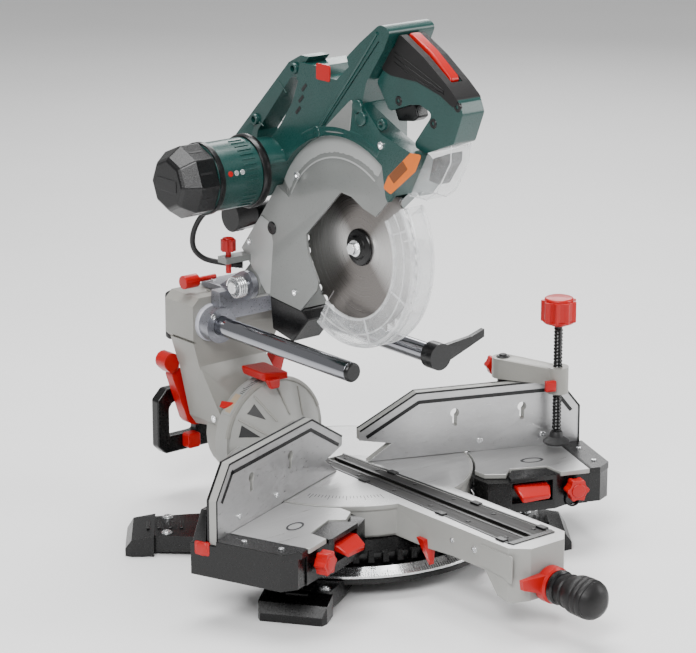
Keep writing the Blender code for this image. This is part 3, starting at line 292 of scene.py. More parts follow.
def turned(axis, centre, profile, steps=64, start=0.0, end=360.0):
    """A profile of (radius, place along the axis) turned about the axis at centre."""
    bm = bmesh.new()
    whole = abs(end - start - 360) < 1e-6
    count = steps if whole else steps + 1
    rings = []
    for radius, t in profile:
        if radius < 1e-7 and whole:
            rings.append([bm.verts.new(along(axis, centre[0], centre[1], t))] * count)
            continue
        ring = []
        for i in range(count):
            a = math.radians(start + (end - start) * i / steps)
            spot = (centre[0] + radius * math.cos(a), centre[1] + radius * math.sin(a))
            ring.append(bm.verts.new(along(axis, *spot, t)))
        rings.append(ring)
    on_axis = profile[0][0] < 1e-7 and profile[-1][0] < 1e-7 and whole
    pairs = list(zip(rings, rings[1:])) + ([] if on_axis else [(rings[-1], rings[0])])
    for low, high in pairs:
        for i in range(steps):
            j = (i + 1) % count
            corners = []
            for v in (low[i], low[j], high[j], high[i]):
                if v not in corners:
                    corners.append(v)
            if len(corners) > 2:
                bm.faces.new(corners)
    if not whole:
        bm.faces.new([ring[0] for ring in rings])
        bm.faces.new([ring[-1] for ring in reversed(rings)])
    return bm


def rod(axis, centre, radius, low, high, steps=40, edge=0.0):
    """A round bar with its ends' edges rounded off."""
    if not edge:
        return turned(axis, centre, [(0, low), (radius, low), (radius, high), (0, high)], steps)
    profile = [(0, low)]
    turns = [math.radians(a) for a in (0, 30, 60, 90)]
    profile += [(radius - edge + edge * math.sin(a),
            low + edge - edge * math.cos(a)) for a in turns]
    profile += [(radius - edge + edge * math.cos(a),
            high - edge + edge * math.sin(a)) for a in turns]
    return turned(axis, centre, [*profile, (0, high)], steps)


def arc(centre, radius, start, end, steps):
    span = [math.radians(start + (end - start) * i / steps) for i in range(steps + 1)]
    return [(centre[0] + radius * math.cos(a), centre[1] + radius * math.sin(a)) for a in span]


def disc(axis, centre, radius, places, steps=24):
    return [along(axis, a, b, t) for t in places for a,
            b in arc(centre, radius, 0, 360 - 360 / steps, steps - 1)]


def rounded(outline, radius, steps=5, keep=()):
    """An outline with its corners rounded; keep lists the corners that stay sharp."""
    out = []
    count = len(outline)
    for i, p in enumerate(outline):
        if i in keep:
            out.append(p)
            continue
        here = Vector(p)
        back, ahead = Vector(outline[i - 1]) - here, Vector(outline[(i + 1) % count]) - here
        turn = back.angle(ahead, math.pi)
        reach = min(radius / max(math.tan(turn / 2), 0.05), back.length * 0.48, ahead.length * 0.48)
        a, b = here + back.normalized() * reach, here + ahead.normalized() * reach
        for k in range(steps + 1):
            t = k / steps
            q = a * (1 - t) ** 2 + here * (2 * t * (1 - t)) + b * t * t
            out.append((q.x, q.y))
    return out


def tube(points, radius, sides=12, closed_ends=True):
    """A round bar swept along points."""
    bm = bmesh.new()
    points = [Vector(p) for p in points]
    rings = []
    up = None
    for i, p in enumerate(points):
        way = (points[min(i + 1, len(points) - 1)] - points[max(i - 1, 0)]).normalized()
        if up is None:
            up = way.orthogonal().normalized()
        up = (up - way * up.dot(way)).normalized()
        side = way.cross(up)
        r = radius[i] if isinstance(radius, (list, tuple)) else radius
        angles = [2 * math.pi * k / sides for k in range(sides)]
        rings.append([bm.verts.new(p + up * (r * math.cos(a)) + side * (r * math.sin(a))) for a in angles])
    for a, b in zip(rings, rings[1:]):
        for k in range(sides):
            n = (k + 1) % sides
            bm.faces.new((a[k], a[n], b[n], b[k]))
    if closed_ends:
        bm.faces.new(rings[0])
        bm.faces.new(list(reversed(rings[-1])))
    return bm


def smooth_path(points, steps):
    points = [Vector(p) for p in points]
    padded = [2 * points[0] - points[1], *points, 2 * points[-1] - points[-2]]
    out = []
    for a, b, c, d in zip(padded, padded[1:], padded[2:], padded[3:]):
        for i in range(steps):
            t = i / steps
            near = (c - a) * t + (2 * a - 5 * b + 4 * c - d) * t * t
            out.append(0.5 * (2 * b + near + (3 * b - a - 3 * c + d) * t ** 3))
    return [*out, points[-1]]


def merged(*shapes):
    """Several separate solids as one mesh."""
    out = bmesh.new()
    for bm in shapes:
        mesh = bpy.data.meshes.new("part")
        bmesh.ops.recalc_face_normals(bm, faces=bm.faces)
        bm.to_mesh(mesh)
        bm.free()
        out.from_mesh(mesh)
        bpy.data.meshes.remove(mesh)
    return out


def lobed(centre, radius, low, high, axis, lobes=8, dip=0.86, steps=6):
    """A fluted knob's body."""
    outline = []
    count = lobes * steps
    for i in range(count):
        a = 2 * math.pi * i / count
        wave = max(0.0, math.cos(lobes * a)) ** 0.7
        r = radius * (1 - (1 - dip) * (1 - wave))
        outline.append((centre[0] + r * math.cos(a), centre[1] + r * math.sin(a)))
    return prism(axis, outline, low, high)


# ---------------------------------------------------------------- pieces
def plain(name, bm, where=MACHINE):
    """A mesh written in millimetres as an object in metres."""
    bm.transform(Matrix.Scale(MM, 4))
    bm.transform(where)
    bmesh.ops.recalc_face_normals(bm, faces=bm.faces)
    mesh = bpy.data.meshes.new(name)
    bm.to_mesh(mesh)
    bm.free()
    obj = bpy.data.objects.new(name, mesh)
    bpy.context.scene.collection.objects.link(obj)
    return obj


def settle(obj):
    """Turns an object's modifiers into its mesh."""
    graph = bpy.context.evaluated_depsgraph_get()
    mesh = bpy.data.meshes.new_from_object(obj.evaluated_get(graph))
    obj.modifiers.clear()
    obj.data = mesh


def carve(obj, cuts, where, operation="DIFFERENCE"):
    for bm in cuts:
        tool = plain("tool", bm, where)
        modifier = obj.modifiers.new("cut", "BOOLEAN")
        modifier.operation = operation
        modifier.object = tool
        settle(obj)
        bpy.data.objects.remove(tool)


def finish_mesh(obj, material, edge, segments, limit=28):
    """Soft edges, smooth faces and the material."""
    mesh = obj.data
    bm = bmesh.new()
    bm.from_mesh(mesh)
    bmesh.ops.remove_doubles(bm, verts=bm.verts, dist=1e-6)
    bmesh.ops.dissolve_limit(bm, angle_limit=math.radians(1), verts=bm.verts, edges=bm.edges)
    bmesh.ops.recalc_face_normals(bm, faces=bm.faces)
    bm.to_mesh(mesh)
    bm.free()
    mesh.materials.clear()
    for m in material if isinstance(material, (list, tuple)) else (material,):
        mesh.materials.append(m)
    if edge:
        bevel = obj.modifiers.new("edges", "BEVEL")
        bevel.width = edge * MM
        bevel.segments = segments
        bevel.limit_method = "ANGLE"
        bevel.angle_limit = math.radians(limit)
        bevel.harden_normals = True
        bevel.use_clamp_overlap = True
        bevel.miter_outer = "MITER_ARC"
    mesh.shade_smooth()
    mesh.set_sharp_from_angle(angle=math.radians(40))


def piece(name, bm, material, body, edge=0.8, segments=2, where=MACHINE, stands_for=(),
        cuts=(), joins=()):
    """A visible piece: a mesh in millimetres, cut, softened, painted and put on its body."""
    obj = plain(name, bm, where)
    carve(obj, joins, where, "UNION")
    carve(obj, cuts, where)
    finish_mesh(obj, material, edge, segments)
    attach(obj, body)
    if stands_for:
        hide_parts(*stands_for)
    return obj


def by_height(obj, height, above):
    """Gives flat faces that look up at a height another material slot."""
    for face in obj.data.polygons:
        if face.normal.z > 0.95 and abs(face.center.z - height * MM) < above * MM:
            face.material_index = 1


def soft_node(node, material, body, edge=1.0, segments=2, limit=28, cuts=(), joins=(),
        where=MACHINE):
    """A CAD node's own shape with soft edges and a finished surface."""
    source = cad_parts[node]
    obj = bpy.data.objects.new("soft_" + node, source.data.copy())
    bpy.context.scene.collection.objects.link(obj)
    obj.matrix_world = source.matrix_world
    carve(obj, joins, where, "UNION")
    carve(obj, cuts, where)
    finish_mesh(obj, material, edge, segments, limit)
    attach(obj, body)
    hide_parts(node)
    return obj


def paint(node, material):
    """A CAD node that stays in view gets its real surface."""
    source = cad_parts[node]
    source.data.materials.clear()
    source.data.materials.append(material)
    source.data.set_sharp_from_angle(angle=math.radians(35))


def hex_bolt(name, axis, centre, out, size, body, where=MACHINE, way=1,
        washer=True):
    """A screw head with a socket, its face looking along way."""
    shapes = []
    face = out + way * size * 0.55
    low, high = sorted((out - way * 0.5, face))
    head = rod(axis, centre, size, low, high, 24, min(0.6, size * 0.12))
    if washer:
        low, high = sorted((out - way * 0.5, out + way * 0.8))
        shapes.append(rod(axis, centre, size * 1.35, low, high, 24))
    obj = plain(name, merged(head, *shapes), where)
    low, high = sorted((face - way * size * 0.35, face + way))
    socket = prism(axis, arc(centre, size * 0.5, 0, 300, 5), low, high)
    carve(obj, [socket], where)
    finish_mesh(obj, BOLT, 0, 1)
    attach(obj, body)
    return obj


# ---------------------------------------------------------------- camera, light and floor
def look(obj, target):
    obj.rotation_euler = (Vector(target) - obj.location).to_track_quat("-Z", "Y").to_euler()


def make_camera():
    turn, rise, reach = math.radians(39.25), math.radians(16.16), 3.4517
    target = Vector((0, AXIS_Y, 0.2844))
    back = Vector((-math.sin(turn) * math.cos(rise), -math.cos(turn) * math.cos(rise),
            math.sin(rise)))
    data = bpy.data.cameras.new("camera")
    data.lens = 144.16
    data.sensor_width = 36
    camera = bpy.data.objects.new("camera", data)
    camera.location = target + back * reach
    look(camera, target)
    bpy.context.scene.collection.objects.link(camera)
    bpy.context.scene.camera = camera


def area_light(name, place, target, size, power, colour=(1, 1, 1)):
    data = bpy.data.lights.new(name, "AREA")
    data.shape = "RECTANGLE"
    data.size, data.size_y = size
    data.energy = power
    data.color = colour
    lamp = bpy.data.objects.new(name, data)
    lamp.location = place
    look(lamp, target)
    bpy.context.scene.collection.objects.link(lamp)


def make_studio():
    world = bpy.data.worlds.new("studio")
    bpy.context.scene.world = world
    world.use_nodes = True
    backdrop = world.node_tree.nodes["Background"]
    backdrop.inputs["Color"].default_value = (1, 1, 1, 1)
    backdrop.inputs["Strength"].default_value = 0.42
    target = (0, 0.05, 0.3)
    area_light("key", (-1.9, -1.5, 2.3), target, (1.3, 1.3), 105)
    area_light("fill", (2.2, -1.8, 1.3), target, (1.2, 1.6), 52)
    area_light("top", (0.2, 0.5, 2.6), target, (2.0, 1.2), 88)
    area_light("rear", (2.0, 2.0, 1.7), target, (1.2, 1.2), 26)
    mesh = bpy.data.meshes.new("floor")
    mesh.from_pydata([(-9, -9, 0), (9, -9, 0), (9, 9, 0), (-9, 9, 0)], [], [(0, 1, 2, 3)])
    floor = bpy.data.objects.new("floor", mesh)
    n = Nodes("pale_floor")
    n.link(n.between(n.noise(1.5), (0.86, 0.86, 0.86), (0.9, 0.9, 0.9)),
            n.shader.inputs["Base Color"])
    n.shader.inputs["Roughness"].default_value = 0.55
    mesh.materials.append(n.mat)
    bpy.context.scene.collection.objects.link(floor)


# ---------------------------------------------------------------- base and turntable
def scale_marks():
    """Degree lines and numbers on the front scale; the steps in the ring behind it are made in make_base.
    """
    shapes = []
    for degree in range(-50, 51):
        reach = 4.6 if degree % 5 else 7.5
        width = 0.45 if degree % 5 else 0.7
        a = math.radians(degree - 90)
        out, across = Vector((math.cos(a), math.sin(a), 0)), Vector((-math.sin(a), math.cos(a), 0))
        points = []
        for r, z in ((197.6, 31), (197.6 - reach, 31 + reach * 8 / 12.3)):
            for lift in (-0.3, 0.25):
                for side in (-width / 2, width / 2):
                    points.append(out * (r + lift * 0.55) + across * side + Vector((0, 0,
                            z - 0.5 + lift)))
        shapes.append(hull(points))
    piece("scale_lines", merged(*shapes), INK, "base", edge=0)
    for degree in (0, 15, 30, 45):
        for sign in (-1, 1) if degree else (1,):
            curve = bpy.data.curves.new("number", "FONT")
            curve.body = str(degree)
            curve.size = 6.5 * MM
            curve.extrude = 0.15 * MM
            curve.align_x = "CENTER"
            text = bpy.data.objects.new("number", curve)
            bpy.context.scene.collection.objects.link(text)
            a = math.radians(sign * degree - 90)
            out = Vector((math.cos(a), math.sin(a), 0))
            up = Vector((-out.x * 12.3, -out.y * 12.3, 8)).normalized()
            right = Vector((-out.y, out.x, 0))
            spot = (out * 189.4 + Vector((0, 0, 36.2))) * MM
            turn = Matrix((right, up, right.cross(up))).transposed().to_4x4()
            settle_text(text, f"scale_number_{'m' if sign < 0 else ''}{degree}",
                    MACHINE @ Matrix.Translation(spot) @ turn)


def settle_text(text, name, where):
    graph = bpy.context.evaluated_depsgraph_get()
    mesh = bpy.data.meshes.new_from_object(text.evaluated_get(graph))
    bpy.data.objects.remove(text)
    mesh.transform(where)
    obj = bpy.data.objects.new(name, mesh)
    bpy.context.scene.collection.objects.link(obj)
    mesh.materials.clear()
    mesh.materials.append(INK)
    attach(obj, "base")


def make_base():
    soft_node("base_casting", BLACK_GLOSS, "base", edge=3.0, segments=3)
    soft_node("scale_ring", BOLT, "base", edge=0.3, segments=1)
    scale_marks()
    pads, ribs = [], []
    for sx in (-1, 1):
        for sy in (-1, 1):
            out = Vector((sx * 224, sy * 168, 0)).normalized()
            across = Vector((-out.y, out.x, 0))
            for side in (-1, 1):
                for r, w, kind in ((262, 26, "pad"), (228, 28, "bolt")):
                    spot = out * r + across * (side * w)
                    if kind == "pad":
                        pads.append(rod("Z", (spot.x, spot.y), 9, 0.2, 3, 24))
                    else:
                        hex_bolt(f"foot_bolt_{'r' if sx > 0 else 'l'}{'b' if sy > 0 else 'f'}{'b' if side > 0 else 'a'}",
                                 "Z", (spot.x, spot.y), 26.6, 5.2, "base")
            for r in (208, 222, 236, 250):
                low, high = out * r, out * (r + 4)
                points = [p + across * (k * 14) + Vector((0, 0, z)) for p in (low,
                        high) for k in (-1, 1) for z in (25, 28.4)]
                ribs.append(hull(points))
    piece("foot_pads", merged(*pads), BLACK_DULL, "base", edge=0.4, segments=1)
    piece("foot_ribs", merged(*ribs), BLACK_GLOSS, "base", edge=1.0)
    steps = []
    for degree in range(-48, 49, 6):
        a = math.radians(degree - 90)
        out, across = Vector((math.cos(a), math.sin(a), 0)), Vector((-math.sin(a), math.cos(a), 0))
        points = [out * r + across * (k * w) + Vector((0, 0, z)) for r, z, w in
                  ((169, 38, 4.5), (169, 52, 3.2), (176, 38, 4.0), (173, 52, 2.8)) for k in (-1, 1)]
        steps.append(hull(points))
    piece("detent_steps", merged(*steps), BLACK_GLOSS, "base", edge=0.5)


def make_turntable():
    top = soft_node("turntable", [SIDE_PAINT, TOP], "turntable", edge=0.9,
            segments=2)
    by_height(top, TABLE, 1.0)
    for name in ("kerf_plate_left", "kerf_plate_right"):
        soft_node(name, KERF, "turntable", edge=0.5)
    frame_strip = []
    for s in (-1, 1):
        outline = [(s * 31.8, -334.4), (s * 35, -336), (s * 22.6, 38), (s * 18.9, 34.6)]
        frame_strip.append(prism("Z", outline, 102.8, 104.7))
        outline = [(s * 4.6, -333), (s * 8.4, -333), (s * 8.4, 30), (s * 4.6, 30)]
        frame_strip.append(prism("Z", outline, 103.0, 104.25))
    frame_strip.append(prism("Z", [(-35, -334.4), (35, -334.4), (33, -343), (-33, -343)], 102.8,
            105.2))
    piece("kerf_frame", merged(*frame_strip), BLACK, "turntable", edge=0.3,
            segments=1)
    clips = []
    for s in (-1, 1):
        for y in (-322, -210, -60):
            x = s * (33 + 12.4 * -(y + 334) / 368)
            clips.append(hull([(x + s * a, y + b, z) for a in (-5, 4) for b in (-7,
                    7) for z in (101.5, 106)]))
    piece("kerf_clips", merged(*clips), BLACK, "turntable", edge=1.0, segments=3)
    screws = []
    for y in (-318, -250, -180, -110, -40, 20):
        for s in (-1, 1):
            x = s * (13.2 + 9 * (-y + 30) / 360)
            screws.append(turned("Z", (x, y), [(0, 103.5), (3.1, 103.5), (3.1, 104.15),
                    (2.2, 104.5), (0, 104.5)], 18))
    piece("kerf_screws", merged(*screws), BLACK_GLOSS, "turntable", edge=0)
    lines = []
    for degree in range(-62, -19, 2):
        a = math.radians(degree - 90)
        r0, r1 = 118, 118 + (9 if degree % 10 else 15)
        out, across = Vector((math.cos(a), math.sin(a), 0)), Vector((-math.sin(a), math.cos(a), 0))
        lines.append(hull([out * r + across * k + Vector((0, 0, z)) for r in (r0,
                r1) for k in (-0.35, 0.35) for z in (103.6, 104.12)]))
    piece("table_lines", merged(*lines), INK, "turntable", edge=0)
    ring = turned("Z", (0, 0), [(154.2, 103.6), (155.4, 103.6), (155.4, 104.15), (154.2, 104.15)],
            90, -62, -60 + 360 - 62)
    piece("table_edge_line", ring, GREY, "turntable", edge=0)
    pointer = hull([(x, y, z) for x, y, z in (
        (-31, -205, 74), (-52, -205, 74), (-31, -192, 74), (-50, -190, 74), (-36, -207, 60),
                (-47, -207, 60), (-38, -209, 42),
        (-42, -209, 42), (-38, -205, 40), (-42, -205, 40), (-36, -200, 60), (-47, -200, 60))])
    piece("mitre_pointer", pointer, RED, "turntable", edge=1.2, segments=3)
    right = hull([(x, y, z) for x, y, z in (
        (48, -200, 57), (62, -194, 57), (48, -188, 57), (60, -184, 57), (50, -206, 46),
                (60, -202, 46), (52, -202, 36), (58, -200, 36))])
    piece("mitre_stop_tab", right, RED, "turntable", edge=1.2, segments=3)
    hex_bolt("arm_bolt_a", "X", (-290, 86), -44.6, 4.2, "turntable", way=-1)
    hex_bolt("arm_bolt_b", "X", (-250, 86), -44.6, 3.4, "turntable", way=-1)
    plate = rounded([(-340, 66), (-300, 70), (-300, 96), (-356, 96), (-356, 60)], 4)
    piece("arm_side_plate", prism("X", [(y, z) for y, z in plate], -46.6, -44.8), SIDE_PAINT,
            "turntable", edge=0.6)


def make_front_controls():
    profile = [(0, -384.5), (17, -384.5), (18.2, -400), (20.5, -404), (19, -406), (21.5, -412),
            (23.9, -419), (24.2, -424),
               (22.9, -426), (24.4, -428), (24.5, -432), (23.1, -434), (24.5, -436), (24.2, -440),
                       (22.6, -442), (23, -444),
               (19, -450), (11, -454.6), (0, -455)]
    lobes = turned("Y", (0, 57), profile, 72)
    for v in lobes.verts:
        a = math.atan2(v.co.z - 57, v.co.x)
        wide = 1 - 0.045 * max(0.0, math.cos(3 * a)) * max(0.0, min(1.0, (-402 - v.co.y) / 14))
        v.co.x *= wide
        v.co.z = 57 + (v.co.z - 57) * wide
    piece("grip_body", lobes, GRIP, "mitre_grip", edge=0, stands_for=("mitre_grip",),
          joins=[rod("Y", (0, 57), 7, -386, -366.7, 32)])
    piece("grip_collar", turned("Y", (0, 57), [(17.5, -384.8), (20.6, -386), (20.6, -391),
            (18.4, -393), (17, -393)], 64),
          BLACK, "mitre_grip", edge=0)
    ring = turned("Y", (0, 57), [(7.8, -383.3), (19.5, -383.3), (22, -381), (22, -369.5),
            (20, -367.1), (7.8, -367.1)], 64)
    tab = hull([(x, y - 366, z + 57) for x, y, z in (
        (-12, -3, 16), (-12, -15, 16), (-18, -3, -6), (-18, -15, -6), (-46, -2, 14), (-46, -8, 14),
                (-44, -2, 2), (-44, -8, 2))])
    piece("detent_ring", ring, RED, "detent_lever", edge=0.6, joins=[tab],
            stands_for=("detent_lever",))


# ---------------------------------------------------------------- side tables and fences
def make_side(s):
    label = LABELS[s]
    side, where = "side_" + label, SIDES[s]
    plate = soft_node("table_plate_" + label, [SIDE_PAINT, TOP], side,
            edge=0.8)
    by_height(plate, TABLE, 1.0)
    soft_node("table_bracket_" + label, BLACK_GLOSS, side, edge=2.0, segments=3)
    fence = soft_node("fence_" + label, [SIDE_PAINT, FACE], side, edge=1.0)
    front = where.to_3x3() @ Vector((0, 1, 0))
    for face in fence.data.polygons:
        if abs(face.normal.dot(front)) > 0.95:
            face.material_index = 1
    # black inlay strips sunk in the fence's face, and its dark outer edge
    trim = [(15, 147), (90, 190), (283, 190), (313, 152), (313, 98)]
    strips = []
    for a, b in zip(trim, trim[1:]):
        way = Vector((b[0] - a[0], b[1] - a[1])).normalized()
        down = Vector((way.y, -way.x))
        for gap, wide in ((0.2, 2.4), (11.0, 4.6)):
            if gap > 1 and b[1] < 150:
                continue
            p0, p1 = Vector(a) + down * gap + way * (gap * 0.3), Vector(b) + down * gap - way * (gap * 0.3)
            q0, q1 = p0 + down * wide, p1 + down * wide
            outline = [(p.x, p.y) for p in (p0, p1, q1, q0)]
            strips.append(prism("Y", outline, -0.35, 0.5))
    piece(f"fence_inlay_{label}", merged(*strips), BLACK, side, edge=0,
            where=where)
    back = []
    for a, b in zip(trim, trim[1:]):
        way = Vector((b[0] - a[0], b[1] - a[1])).normalized()
        down = Vector((way.y, -way.x))
        outline = [(p.x, p.y) for p in (Vector(a) - down * 0.4, Vector(b) - down * 0.4,
                Vector(b) + down * 4, Vector(a) + down * 4)]
        back.append(prism("Y", outline, -12.5, -9.5))
    piece(f"fence_back_edge_{label}", merged(*back), BLACK, side, edge=0,
            where=where)
    for i, (u, z) in enumerate(((176, 118), (262, 118))):
        hex_bolt(f"fence_screw_{label}_{i}", "Y", (u, z), 0.0, 3.6, side, where=where, washer=False)
    # extension with its end knob
    soft_node("extension_" + label, BLACK_GLOSS, "extension_" + label, edge=2.0,
            segments=3)
    piece(f"extension_end_knob_{label}", merged(
        rod("X", (-18, 92), 9, 312, 317.5, 28, 2), prism("X",
                rounded([(-28, 84), (-8, 84), (-8, 101), (-28, 101)], 3), 313, 316.6)),
        RED, "extension_" + label, edge=0.6, where=where)
    for v in (30, 80):
        hex_bolt(f"extension_screw_{label}_{v}", "Z", (300, v), 104.0, 3.4, "extension_" + label,
                where=where, washer=False)
    # star knob and lock lever
    knob = merged(lobed((262, 82), 15, 109.5, 124, "Y", 6, 0.80),
            rod("Y", (262, 82), 9, 122, 125.6, 32, 1.5),
                  rod("Y", (262, 82), 5, 104.8, 110, 24))
    piece(f"star_knob_{label}", knob, RED, "extension_knob_" + label, edge=1.2,
            segments=3, where=where,
          stands_for=("extension_knob_" + label,))
    soft_node("lock_lever_" + label, RED, "lock_lever_" + label, edge=2.4,
            segments=3)
    ribs = [hull([(u + k, v, z) for k in (0, 1.2) for v,
            z in ((105, 91.4), (112, 90.9), (105, 93), (112, 92.5))]) for u in range(188, 224, 5)]
    piece(f"lock_lever_ribs_{label}", merged(*ribs), RED, "lock_lever_" + label,
            edge=0.3, segments=1, where=where)
    oval = turned("Z", (0, 0), [(10.5, 103.7), (14, 103.7), (14, 104.25), (10.5, 104.25)], 48)
    for v in oval.verts:
        v.co.x, v.co.y = v.co.x * 1.1 + 226, v.co.y * 0.62 + 55
    piece(f"table_oval_{label}", oval, INK, side, edge=0, where=where)
    edge = prism("Z", [(283.2, 1.5), (286.5, 1.5), (286.5, 104), (283.2, 104)], 100, 104.3)
    piece(f"extension_joint_{label}", edge, BLACK_DULL, "extension_" + label,
            edge=0.3, segments=1, where=where)


def make_ring():
    """The wire ring that hangs behind the right star knob."""
    points = [(262 + 9 * math.cos(a), 106,
            66 + 9 * math.sin(a)) for a in [2 * math.pi * i / 28 for i in range(29)]]
    piece("wire_ring", tube(points, 1.4, 10), BLACK, "side_right", edge=0,
            where=SIDES[1])


def thread(axis, centre, radius, low, high, pitch, depth, steps=24):
    """A screw's thread as a run of turns."""
    bm = bmesh.new()
    count = int((high - low) / pitch * steps)
    rings = []
    for i in range(count + 1):
        a = 2 * math.pi * i / steps
        t = low + (high - low) * i / count
        row = []
        for r, dt in ((radius - depth, -pitch / 2), (radius, 0), (radius - depth, pitch / 2)):
            row.append(bm.verts.new(along(axis, centre[0] + r * math.cos(a),
                    centre[1] + r * math.sin(a), t + dt)))
        rings.append(row)
    for a, b in zip(rings, rings[1:]):
        for k in range(2):
            bm.faces.new((a[k], a[k + 1], b[k + 1], b[k]))
        bm.faces.new((a[2], a[0], b[0], b[2]))
    bm.faces.new(rings[0])
    bm.faces.new(list(reversed(rings[-1])))
    return bm


def make_clamp():
    where = SIDES[1]
    soft_node("clamp_post", BLACK, "clamp_post", edge=1.0)
    soft_node("clamp_arm", GREY, "clamp_arm", edge=2.2, segments=3)
    cap = merged(rod("Z", (216, -26), 8.6, 217.5, 219.2, 32, 0.6),
            rod("Z", (216, -26), 5, 218, 222, 24, 1))
    piece("clamp_post_cap", cap, BLACK_DULL, "clamp_post", edge=0, where=where)
    knob = merged(lobed((216, 199), 13, -62, -50, "Y", 6, 0.82),
            rod("Y", (216, 199), 4, -51, -41.6, 20))
    piece("clamp_arm_star", knob, RED, "clamp_arm_knob", edge=1.0, segments=3,
            where=where,
          stands_for=("clamp_arm_knob",))
    core = rod("Z", (272, 22), 4.9, 128.3, 268, 28)
    turns = thread("Z", (272, 22), 5.95, 131, 266, 4.5, 1.2)
    piece("clamp_thread", merged(core, turns), BLACK_GLOSS, "clamp_screw", edge=0,
            where=where,
          stands_for=("clamp_screw",))
    head = merged(lobed((272, 22), 23, 274, 301, "Z", 9, 0.84),
            rod("Z", (272, 22), 18.5, 299, 304.8, 48, 2.5),
                  rod("Z", (272, 22), 10, 268.4, 275, 32),
                          turned("Z", (272, 22), [(0, 272), (19, 272), (22, 275.5), (0, 275.5)],
                          48))
    piece("clamp_hand_knob", head, RED, "clamp_screw", edge=0.8, segments=3,
            where=where, stands_for=("clamp_knob",))
    pad = turned("Z", (272, 22), [(0, 112), (15.5, 112), (17, 113.2), (17, 115), (15.6, 116),
            (9, 121), (8.6, 124), (7, 127.9), (0, 127.9)], 48)
    piece("clamp_foot_pad", pad, BLACK_DULL, "clamp_feed", edge=0, where=where,
            stands_for=("clamp_pad",))
    clip = hull([(u, v, z) for u in (250, 264) for v in (33, 38.5) for z in (186, 200)] + [(254, 40,
            190), (260, 40, 190)])
    piece("clamp_clip", clip, RED, "clamp_arm", edge=1.0, segments=3, where=where)


